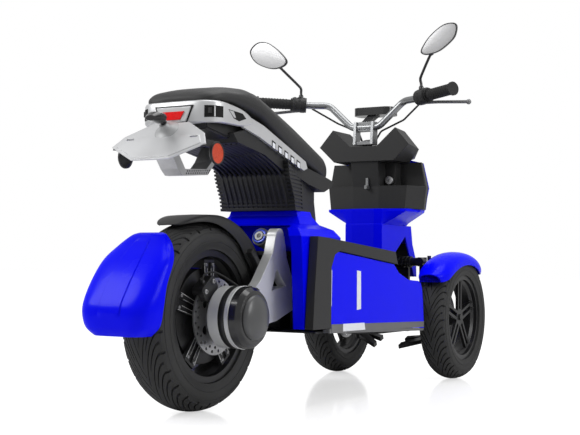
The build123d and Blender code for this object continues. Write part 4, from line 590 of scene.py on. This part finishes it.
# Rear hub: a satin dome in the black cap
def rear_hub():
    """The dome, the bright ring round the cap, the sleeve on its neck and three vents."""
    shown("hub_dome", [lathe(REAR_AXLE, (1, 0, 0), [
        (0.1786, 0.0500), (0.1788, 0.0560), (0.1812, 0.0560), (0.1857, 0.0541), (0.1893, 0.0490),
        (0.1923, 0.0420), (0.1951, 0.0315), (0.1973, 0.0190), (0.1982, 0.0090), (0.1985, 0.0)], 72)],
        "black_metal", "frame", "satin_grey")
    shown("hub_cap_ring", [lathe(REAR_AXLE, (1, 0, 0), [
        (0.1462, 0.0750), (0.1466, 0.0772), (0.1478, 0.0772), (0.1482, 0.0764),
        (0.1482, 0.0740)], 72, False)],
        "cast_silver", "frame")
    shown("hub_neck_sleeve", [lathe(REAR_AXLE, (1, 0, 0), [
        (0.1192, 0.0730), (0.1192, 0.0756), (0.1200, 0.0762), (0.1360, 0.0762), (0.1368, 0.0756),
        (0.1368, 0.0730)], 72, False)],
        "black_metal", "frame")
    vents = []
    for degrees in (38, 66, 94):
        base = wheel_point(REAR_AXLE, 0.1640, 0.0700, degrees)
        corners = [base + spoke(degrees + 90) * a + Vector((x, 0, 0)) for a, x in (
            (-0.007, -0.004), (0.007, -0.004), (0.007, 0.004), (-0.007, 0.004))]
        vents.append(plate(corners, spoke(degrees) * 0.0062, 0.0005))
    shown("hub_cap_vents", vents, "black_metal", "frame", "dark_hole")


rear_hub()

# Rear wheel: bolts on the rim's arms and pale lines of painted highlight along their edges
ARM_FACE_X = 0.0431
ARM_ANGLES = [90 + 72 * k for k in range(5)]


def arm_highlight_strip(angle, side, rows, width):
    """A thin pale line of painted highlight on an arm's face: rows of (radius, distance from the arm's
    middle).
    """
    base = Vector((ARM_FACE_X, REAR_AXLE.y, REAR_AXLE.z))
    aside = spoke(angle + 90) * side
    far = [base + spoke(angle) * r + aside * w for r, w in rows]
    near = [base + spoke(angle) * r + aside * (w - width) for r, w in rows]
    return plate(far + near[::-1], (0.0007, 0, 0), 0)


def rear_wheel_details():
    """Two bolts on each arm, and two pale lines of painted highlight along each of its sides."""
    bolts = [bolt(wheel_point(REAR_AXLE, ARM_FACE_X, 0.128, angle + turn), (1, 0, 0), 0.0038, 0.0028)
             for angle in ARM_ANGLES for turn in (-6.5, 6.5)]
    shown("rear_rim_bolts", bolts, "steel", "rear_wheel")
    # Pale lines that paint the highlights caught on the arms' edges
    lines = []
    for angle in ARM_ANGLES:
        for side in (1, -1):
            lines.append(arm_highlight_strip(angle, side, ((0.060, 0.0176), (0.131, 0.0212)), 0.0013))
            lines.append(arm_highlight_strip(angle, side, ((0.052, 0.0084), (0.118, 0.0084)), 0.0009))
    shown("rear_rim_painted_highlights", lines, "cast_silver", "rear_wheel")


rear_wheel_details()


# Brake caliper: its bolts and the hose that loops over to the carrier
def rear_brake_details():
    """Two bolts and the hose's union on the caliper, and the hose."""
    fittings = [bolt(wheel_point(REAR_AXLE, 0.0835, 0.097, angle), (1, 0, 0), 0.0060, 0.0045)
                for angle in (116, 140)]
    fittings.append(lathe(wheel_point(REAR_AXLE, 0.0700, 0.106, 128), (0, -0.616, 0.788), [
        (0, 0.0050), (0.006, 0.0050), (0.006, 0.0032), (0.014, 0.0032), (0.014, 0.0)], 16))
    shown("rear_caliper_fittings", fittings, "steel", "frame")
    hose = spline([
        (0.0700, -0.583, 0.309), (0.0740, -0.600, 0.322), (0.0760, -0.592, 0.341), (0.0780, -0.550, 0.345),
        (0.0850, -0.497, 0.326), (0.0960, -0.462, 0.305), (0.1040, -0.458, 0.290)], 6)
    shown("rear_brake_hose", [tube(hose, 0.0026, 12)], "grip_rubber", "frame")


rear_brake_details()

# Rear damper in its arch: silver collar, blue adjuster ring, black cap and the coil
DAMPER_TOP = Vector((0.060, -0.318, 0.441))
DAMPER_DIR = Vector((0, 0.095, -0.034)).normalized()
COIL_TURNS = 5.0
COIL_STEPS = 30  # in one turn


def rear_damper():
    """Turned parts along the damper's line, its cross pin, and the spring round it."""
    shown("rear_damper_body", [
        lathe(DAMPER_TOP, DAMPER_DIR, [
            (-0.002, 0.0), (-0.002, 0.0120), (0.002, 0.0135), (0.006, 0.0240), (0.024, 0.0240),
            (0.026, 0.0155), (0.098, 0.0155), (0.100, 0.0225), (0.106, 0.0225), (0.106, 0.0)], 40),
        lathe((0.046, -0.310, 0.440), (1, 0, 0), [(0, 0.0), (0, 0.0085), (0.045, 0.0085), (0.045, 0.0)], 24)],
        "cast_silver", "frame", "dull_steel")
    shown("rear_damper_ring", [lathe(DAMPER_TOP, DAMPER_DIR, [
        (0.0035, 0.0138), (0.0002, 0.0145), (-0.0004, 0.0180), (0.0010, 0.0198), (0.0050, 0.0206),
        (0.0090, 0.0210), (0.0120, 0.0210), (0.0130, 0.0190)], 40, False)],
        "steel", "frame", "blue_spring")
    shown("rear_damper_cap", [lathe(DAMPER_TOP, DAMPER_DIR, [
        (0.0040, 0.0), (-0.0026, 0.0), (-0.0030, 0.0055), (-0.0008, 0.0075), (-0.0008, 0.0125),
        (0.0040, 0.0138)], 40)],
        "black_metal", "frame")
    side = Vector((1, 0, 0))
    round_line = circle(side, DAMPER_DIR.cross(side), COIL_STEPS)
    steps = int(COIL_TURNS * COIL_STEPS)
    coil = [DAMPER_TOP + DAMPER_DIR * (0.027 + 0.070 * k / steps) + round_line[k % COIL_STEPS] * 0.0195
            for k in range(steps + 1)]
    shown("rear_damper_coil", [tube(coil, 0.0031, 10)], "black_metal", "frame")


rear_damper()

# Body sides: a pale stripe and a thin painted highlight on each panel, a pale patch of painted reflection in
# each sill, bright strip along it
BODY_SIDE_X = 0.2221
SILL_STRIP = ((-0.214, 0.1880), (0.395, 0.1790), (0.395, 0.1960), (-0.214, 0.2105))
# The first outline is a pale stripe; the second, narrow one is a painted highlight along the panel's rear
# edge
PANEL_STRIPE_AND_HIGHLIGHT = (
    ((-0.066, 0.244), (-0.041, 0.246), (-0.043, 0.350), (-0.067, 0.352)),
    ((-0.221, 0.258), (-0.214, 0.258), (-0.213, 0.352), (-0.221, 0.358)),
)
# A pale patch on each sill that is a painted reflection
SILL_REFLECTION = ((-0.148, 0.189), (-0.014, 0.188), (-0.020, 0.2075), (-0.148, 0.2090))
shown("sill_strips", [side_plate(side, BODY_SIDE_X, SILL_STRIP, 0.0007, 0.0003) for side in (1, -1)],
      "silver_paint", "frame", "dull_steel")
# Pale stripes, and thin pale bars that are painted highlights on the panels' rear edges
shown("panel_stripe_and_painted_highlight", [side_plate(side, BODY_SIDE_X, stripe, 0.0007, 0.0002)
                        for side in (1, -1) for stripe in PANEL_STRIPE_AND_HIGHLIGHT],
      "silver_paint", "frame", "white_paint_and_highlight")
# The pale patches on the sills are painted reflections
shown("sill_painted_reflections", [side_plate(side, BODY_SIDE_X, SILL_REFLECTION, 0.0012, 0.0003) for side in (1, -1)],
      "silver_paint", "frame", "white_paint_and_highlight")

# Tail: the lamp's foot and the reflector cups
PLATE_OUT = Vector((0, -0.7403, 0.6723)).normalized()
shown("lamp_foot", [lathe((0, -0.6515, 0.6874), PLATE_OUT, [
    (-0.001, 0.0330), (0.0006, 0.0315), (0.0022, 0.0270), (0.0050, 0.0205), (0.0092, 0.0150),
    (0.0150, 0.0118), (0.0200, 0.0105), (0.0200, 0.0)], 40)],
    "silver_paint", "frame", "dull_silver")


def reflector_cup(label, sign):
    """A cup behind the round reflector, and the arm that holds it."""
    cup = lathe((0.1240 * sign, -0.6360, 0.6270), (sign, 0, 0), [
        (-0.0012, 0.0010), (-0.0012, 0.0148), (0.0098, 0.0272), (0.0146, 0.0274), (0.0146, 0.0240),
        (0.0120, 0.0238), (0.0040, 0.0140), (0.0, 0.0010)], 48, False)
    arm = side_plate(sign, 0.1182, (
        (-0.6226, 0.6400), (-0.6226, 0.6562), (-0.6762, 0.6562), (-0.6900, 0.6400)), 0.0158, 0.0003)
    shown(f"reflector_cup_{label}", [cup, arm], "black_plastic", "frame")


for label, sign in SIDES:
    reflector_cup(label, sign)

# Plate bracket's perforations: two rows of eleven on each side
HOLE_FIRST = Vector((0.0257, -0.604, 0.5855))
HOLE_STEP = Vector((0, 0.0095, 0.0008))
HOLE_ROW_STEP = Vector((0, 0.0047, 0.0060))
HOLE_PROFILE = ((0, 0.0022), (0.0007, 0.0020), (0.0007, 0.0))
hole_places = [HOLE_FIRST + HOLE_ROW_STEP * row + HOLE_STEP * k for row in range(2) for k in range(11)]
shown("bracket_holes", [lathe(on_side(place, side), (side, 0, 0), HOLE_PROFILE, 12)
                        for side in (1, -1) for place in hole_places],
      "steel", "frame", "dark_hole")

# Tail ribs, down from the seat's underside to the rear cowl, and the sheet behind them
RIB_PATH = (
    (0, -0.485, 0.668), (0, -0.430, 0.662), (0, -0.365, 0.649), (0, -0.305, 0.628), (0, -0.266, 0.606),
    (0, -0.257, 0.586), (0, -0.238, 0.548), (0, -0.228, 0.524), (0, -0.225, 0.5135),
)
RIB_SET_BACK = Vector((0, -0.001, -0.001))
RIB_PITCH = Vector((0.0155, 0, 0))
BACKING_HALF = 0.104


def rib_backing():
    """A thin sheet across the steep part of the ribs' path."""
    skin = spline(RIB_PATH[4:], 4)
    rings = []
    for i, p in enumerate(skin):
        ahead = (skin[min(i + 1, len(skin) - 1)] - skin[max(i - 1, 0)]).normalized()
        out = Vector((0, ahead.z, -ahead.y))
        side = Vector((BACKING_HALF, 0, 0))
        front, back = p + out * 0.0012, p - out * 0.002
        rings.append([front - side, front + side, back + side, back - side])
    shown("rib_backing", [ring_mesh(rings)], "black_plastic", "frame")


rib_line = [p + RIB_SET_BACK for p in spline(RIB_PATH, 4)]
shown("tail_ribs", [tube([p + RIB_PITCH * k for p in rib_line], 0.0036, 8) for k in range(-6, 7)],
      "black_plastic", "frame")
rib_backing()

# Tail band: silver, wrapped round the back of the seat, with its windows and the frame under it
BAND = (  # half width, forward, lower edge, upper edge: from the right tip to the middle of the back
    (0.1146, -0.4400, 0.7210, 0.7290), (0.1146, -0.4560, 0.7130, 0.7400), (0.1146, -0.4900, 0.7080, 0.7510),
    (0.1146, -0.5550, 0.7075, 0.7585), (0.1115, -0.5850, 0.7070, 0.7600), (0.1010, -0.6050, 0.7060, 0.7605),
    (0.0800, -0.6175, 0.7045, 0.7610), (0.0500, -0.6225, 0.7030, 0.7612), (0.0, -0.6235, 0.7025, 0.7614),
)
BAND_LINE = spline(BAND + tuple((-x, y, low, high) for x, y, low, high in reversed(BAND[:-1])), 6)
BAND_ROUNDING = 0.006
BAND_SIDE_X = 0.1147
BAND_BACK_Y = -0.6215
UNDERSIDE = (
    (-0.615, 0.7080), (-0.609, 0.6920), (-0.505, 0.6765), (-0.451, 0.7000), (-0.427, 0.7020),
    (-0.495, 0.7300),
)
UNDERSIDE_HALF = 0.088
CORNER_WINDOWS = ((22, 35), (len(BAND_LINE) - 36, len(BAND_LINE) - 23))  # places along the line
SIDE_WINDOW = ((-0.556, 0.7430), (-0.492, 0.7395), (-0.475, 0.7285), (-0.508, 0.7185), (-0.533, 0.7235))
SIDE_BAR = ((-0.554, 0.7412), (-0.533, 0.7400), (-0.523, 0.7255), (-0.5315, 0.7250))


def band_place(i):
    """A place on the band: a point of its outer line, the outward direction, its lower and upper edges."""
    x, y, low, high = BAND_LINE[i]
    ahead = BAND_LINE[min(i + 1, len(BAND_LINE) - 1)] - BAND_LINE[max(i - 1, 0)]
    out = Vector((-ahead.y, ahead.x, 0)).normalized()
    if out.dot(Vector((x, y + 0.5, 0))) < 0:
        out = -out
    return Vector((x, y, 0)), out, low, high


def band_strip(start, end, low_share, high_share, proud):
    """A thin sheet lying on the band between two places."""
    rings = []
    for i in range(start, end + 1):
        at, out, low, high = band_place(i)
        foot = Vector((0, 0, low + (high - low) * low_share))
        top = Vector((0, 0, low + (high - low) * high_share))
        near, far = at - out * 0.001, at + out * proud
        rings.append([near + foot, far + foot, far + top, near + top])
    return ring_mesh(rings)


def back_panel(top, foot, proud, bevel=0.0):
    """A sheet on the back of the band, from (half width, height) of its top and of its foot."""
    corners = ((-top[0], top[1]), top, foot, (-foot[0], foot[1]))
    return plate([(x, BAND_BACK_Y, z) for x, z in corners], (0, -proud, 0), bevel)


def tail_band():
    """A section along the band's line, rounded outside and flat inside, and the frame's underside."""
    rings = []
    for i in range(len(BAND_LINE)):
        at, out, low, high = band_place(i)
        soft = min(BAND_ROUNDING, (high - low) * 0.4)
        rings.append([at - out * inward + Vector((0, 0, z)) for inward, z in (
            (0.0120, low), (0.0050, low), (0.0018, low + soft * 0.35), (0.0002, low + soft),
            (0.0, (low + high) / 2),
            (0.0002, high - soft), (0.0018, high - soft * 0.35), (0.0050, high), (0.0120, high))])
    shown("tail_band", [ring_mesh(rings)], "silver_paint", "frame", replaces=("tail_frame",))
    shown("tail_underside", [side_plate(1, -UNDERSIDE_HALF, UNDERSIDE, 2 * UNDERSIDE_HALF, 0.004)],
          "black_plastic", "frame")


def tail_windows():
    """Dark windows at the band's corners and sides, a pale bar in each, and the tail light's surround."""
    dark = [band_strip(start, end, 0.24, 0.76, 0.0004) for start, end in CORNER_WINDOWS]
    dark += [side_plate(side, BAND_SIDE_X, SIDE_WINDOW, 0.0004) for side in (1, -1)]
    dark.append(back_panel((0.0570, 0.7490), (0.0390, 0.7060), 0.0026))
    middles = [(start + end) // 2 for start, end in CORNER_WINDOWS]
    pale = [band_strip(i, i + 1, 0.26, 0.74, 0.0008) for i in middles]
    pale += [side_plate(side, BAND_SIDE_X, SIDE_BAR, 0.0008) for side in (1, -1)]
    shown("tail_band_windows", dark, "silver_paint", "frame", "dark_hole")
    shown("tail_band_bars", pale, "silver_paint", "frame")
    shown("tail_light_surround", [back_panel((0.0520, 0.7460), (0.0360, 0.7085), 0.0040, 0.0010)],
          "silver_paint", "frame")


tail_band()
tail_windows()

# Seat trims: five slanted windows on each side, white inside a dark outline
TRIM_SIDE_X = 0.1121
TRIM_FIRST = (-0.335325, 0.676294)  # forward, height
TRIM_STEP = (0.0325875, -0.0099825)


def seat_trim(size, drop, proud):
    """Ten slanted squares: their size, how far they sit below their places and how far they stand out."""
    half = size / 2
    corners = ((-half, 1.3 * half), (half, 0.7 * half), (half, -1.3 * half), (-half, -0.7 * half))
    windows = []
    for side in (1, -1):
        for i in range(5):
            y = TRIM_FIRST[0] + TRIM_STEP[0] * i
            z = TRIM_FIRST[1] + TRIM_STEP[1] * i - drop
            windows.append(side_plate(side, TRIM_SIDE_X, [(y + a, z + b) for a, b in corners], proud))
    return windows


shown("seat_trim_outlines", seat_trim(0.0190, 0.0, 0.0008), "silver_paint", "frame", "dark_hole")
shown("seat_trim_windows", seat_trim(0.0135, 0.0016, 0.0012), "silver_paint", "frame", "white_paint_and_highlight")

# Mirrors: rounded heads with a rim, convex glass, bent stems with their boots
HEADS = {
    "right": ((0.239, 1.026), (0.264, 1.062), (0.303, 1.092), (0.333, 1.100), (0.353, 1.094), (0.354, 1.072),
              (0.341, 1.048), (0.300, 1.018), (0.264, 1.009), (0.243, 1.012)),
    "left": ((-0.235, 1.030), (-0.262, 1.062), (-0.301, 1.091), (-0.328, 1.099), (-0.350, 1.097),
             (-0.370, 1.083), (-0.376, 1.064), (-0.356, 1.034), (-0.318, 1.014), (-0.282, 1.006),
             (-0.247, 1.012)),
}
MIRROR_Y = 0.323
HEAD_RINGS = (  # share of the outline, distance forward
    (0.930, 0.0004), (0.940, -0.0016), (0.965, -0.0024), (0.995, -0.0016), (1.006, 0.0010), (1.0, 0.0060),
    (0.96, 0.0105), (0.86, 0.0138), (0.66, 0.0158), (0.36, 0.0166), (0.02, 0.0168),
)
GLASS_RINGS = ((0.942, 0.0002), (0.938, -0.0004), (0.72, -0.0010), (0.44, -0.0014), (0.02, -0.0016))
STEM_PATH = (  # on the right
    (0.2140, 0.3830, 0.9034), (0.2140, 0.3828, 0.9300), (0.2128, 0.3790, 0.9440),
    (0.2210, 0.3700, 0.9570), (0.2600, 0.3380, 1.0040), (0.2760, 0.3310, 1.0230),
)


def mirror_rings(label, rows):
    """Copies of a head's outline, scaled about its middle and moved forward row by row."""
    outline = spline([(x, MIRROR_Y, z) for x, z in HEADS[label]], 5, closed=True)
    middle = sum(outline, Vector()) / len(outline)
    return [[middle + (p - middle) * share + Vector((0, forward, 0)) for p in outline]
            for share, forward in rows]


def mirror_stem(sign):
    """A bent rod with a thicker boot at each end."""
    path = spline([(x * sign, y, z) for x, y, z in STEM_PATH], 6)
    return tube(path, lambda share: 0.0078 if share < 0.16 or share > 0.86 else 0.0043, 14)


heads = []
for label, sign in SIDES:
    heads += [ring_mesh(mirror_rings(label, HEAD_RINGS)), mirror_stem(sign)]
shown("mirror_heads", heads, "black_gloss", "steering", sharp=50, replaces=("mirrors",))
shown("mirror_faces", [ring_mesh(mirror_rings(label, GLASS_RINGS)) for label, sign in SIDES],
      "mirror_glass", "steering", sharp=50, replaces=("mirror_glasses",))

# Floor mat ridges and the lock's face
MAT_TOP = 0.4048
RIDGE_HALF, RIDGE_WIDTH, RIDGE_RISE = 0.165, 0.005, 0.0016
ridges = []
for k in range(11):
    rear = 0.044 + 0.0115 * k
    front = rear + RIDGE_WIDTH
    corners = [(-RIDGE_HALF, rear), (RIDGE_HALF, rear), (RIDGE_HALF, front), (-RIDGE_HALF, front)]
    ridges.append(plate([(x, y, MAT_TOP) for x, y in corners], (0, 0, RIDGE_RISE)))
shown("mat_ridges", ridges, "black_plastic", "frame")
shown("lock_face", [lathe((0.066, 0.4700, 0.641), (0, -1, 0), [
    (0, 0.0100), (0.0002, 0.0136), (0.0022, 0.0136), (0.0036, 0.0122), (0.0036, 0.0096), (0.0018, 0.0090),
    (0.0018, 0.0)], 36)],
    "steel", "frame")
shown("lock_slot", [plate([(x, 0.4681, z) for x, z in (
    (0.0650, 0.6370), (0.0670, 0.6370), (0.0670, 0.6450), (0.0650, 0.6450))], (0, -0.0004, 0), 0)],
    "steel", "frame", "dark_hole")

# Handlebar: ridges on the grips, collars and buttons on the switch housings
GRIP_END = Vector((0.3410, 0.3220, 0.8990))
GRIP_ROOT = Vector((0.18232, 0.40523, 0.8890))
GRIP_RIDGE_PITCH = 0.0095
HOUSING_ALONG = 0.136  # from the grip's end
HOUSING_PROFILE = (
    (-0.021, 0.0225), (-0.020, 0.0252), (-0.014, 0.0256), (-0.013, 0.0242),
    (0.002, 0.0242), (0.003, 0.0254), (0.017, 0.0250), (0.019, 0.0225),
)
BUTTONS = ((-0.008, 40), (0.004, 62), (0.012, 30))  # along the housing, degrees up from the rear
BUTTON_PROFILE = ((0, 0.0050), (0.0042, 0.0046), (0.0050, 0.0036), (0.0050, 0.0))


def grip(label, sign):
    """Nine ridges on a grip, and the switch housing beside it."""
    end = on_side(GRIP_END, sign)
    way = (on_side(GRIP_ROOT, sign) - end).normalized()
    ridges = []
    for k in range(9):
        profile = [(0.012 + GRIP_RIDGE_PITCH * k + along, radius) for along, radius in (
            (0, 0.0155), (0.0015, 0.0176), (0.0045, 0.0176), (0.006, 0.0155))]
        ridges.append(lathe(end, way, profile, 28))
    shown(f"grip_ridges_{label}", ridges, "grip_rubber", "steering")
    housing = end + way * HOUSING_ALONG
    details = [lathe(housing, way, HOUSING_PROFILE, 32)]
    for along, degrees in BUTTONS:
        face = spoke(180 - degrees)
        details.append(lathe(housing + way * along + face * 0.0225, face, BUTTON_PROFILE, 16))
    shown(f"switch_details_{label}", details, "black_plastic", "steering")


for label, sign in SIDES:
    grip(label, sign)

# Stage: a white floor that keeps the shadow, soft lights, and the photograph's camera
FLOOR_HALF = 30
FLOOR_GLOW = 0.58
GLOSSY_LEVEL = 0.62
DIFFUSE_LEVEL = 0.50


def add_math(tree, operation, first, second):
    """A math node on a socket and a number or another socket."""
    made = tree.nodes.new("ShaderNodeMath")
    made.operation = operation
    tree.links.new(first, made.inputs[0])
    if isinstance(second, float):
        made.inputs[1].default_value = second
    else:
        tree.links.new(second, made.inputs[1])
    return made.outputs[0]


def floor_material():
    """A pale floor that glows only towards the camera."""
    made = bpy.data.materials.new("studio_floor")
    made.use_nodes = True
    tree = made.node_tree
    shader = tree.nodes["Principled BSDF"]
    set_inputs(shader, Base_Color=(0.80, 0.80, 0.80, 1), Roughness=0.10, Specular_IOR_Level=0.50,
               Emission_Color=(1, 1, 1, 1))
    rays = tree.nodes.new("ShaderNodeLightPath").outputs
    glow = add_math(tree, "MULTIPLY", rays["Is Camera Ray"], FLOOR_GLOW)
    tree.links.new(glow, shader.inputs["Emission Strength"])
    return made


def set_world():
    """White to the camera and through glass, weaker in reflections and weaker still as light."""
    world = bpy.data.worlds.new("studio")
    bpy.context.scene.world = world
    world.use_nodes = True
    tree = world.node_tree
    rays = tree.nodes.new("ShaderNodeLightPath").outputs
    seen = add_math(tree, "MAXIMUM", rays["Is Camera Ray"], rays["Is Transmission Ray"])
    shiny = add_math(tree, "MULTIPLY", rays["Is Glossy Ray"], GLOSSY_LEVEL)
    level = add_math(tree, "MAXIMUM", add_math(tree, "MAXIMUM", seen, shiny), DIFFUSE_LEVEL)
    back = set_inputs(tree.nodes["Background"], Color=(1, 1, 1, 1))
    tree.links.new(level, back.inputs["Strength"])


def area_light(name, place, target, size, power):
    """A soft rectangular light turned towards its target."""
    lamp = bpy.data.lights.new(name, "AREA")
    lamp.shape = "RECTANGLE"
    lamp.size, lamp.size_y = size
    lamp.energy = power
    obj = bpy.data.objects.new(name, lamp)
    obj.location = place
    obj.rotation_mode = "QUATERNION"
    obj.rotation_quaternion = (Vector(target) - Vector(place)).to_track_quat("-Z", "Y")
    bpy.context.scene.collection.objects.link(obj)


floor_mesh = bpy.data.meshes.new("floor")
FLOOR_CORNERS = [(-FLOOR_HALF, -FLOOR_HALF, 0), (FLOOR_HALF, -FLOOR_HALF, 0),
                 (FLOOR_HALF, FLOOR_HALF, 0), (-FLOOR_HALF, FLOOR_HALF, 0)]
floor_mesh.from_pydata(FLOOR_CORNERS, [], [(0, 1, 2, 3)])
floor = bpy.data.objects.new("floor", floor_mesh)
bpy.context.scene.collection.objects.link(floor)
floor.data.materials.append(floor_material())
set_world()
area_light("key", (-2.2, -2.4, 2.6), (0, 0, 0.4), (1.6, 1.6), 70)
area_light("side", (3.4, 0.2, 2.0), (0, 0.1, 0.3), (1.2, 2.2), 55)
area_light("top", (0.2, 0.3, 3.4), (0, 0, 0.3), (2.4, 2.4), 60)

YAW, PITCH, ROLL = math.radians(-29.992), math.radians(2.352), math.radians(0.601)
CAMERA_PLACE = (1.64787, -2.90750, 0.36518)
LENS_MM = 71.72
forward = Vector((math.sin(YAW) * math.cos(PITCH), math.cos(YAW) * math.cos(PITCH), math.sin(PITCH)))
right = Vector((math.cos(YAW), -math.sin(YAW), 0))
up = right.cross(forward)
tilted_right = right * math.cos(ROLL) + up * math.sin(ROLL)
tilted_up = up * math.cos(ROLL) - right * math.sin(ROLL)
camera_data = bpy.data.cameras.new("camera")
camera_data.sensor_width = 36
camera_data.lens = LENS_MM
camera_data.clip_start = 0.05
camera_data.clip_end = 200
camera = bpy.data.objects.new("camera", camera_data)
bpy.context.scene.collection.objects.link(camera)
turn = Matrix((tilted_right, tilted_up, -forward)).transposed().to_4x4()
camera.matrix_world = Matrix.Translation(CAMERA_PLACE) @ turn
bpy.context.scene.camera = camera
bpy.context.scene.view_settings.view_transform = "Standard"
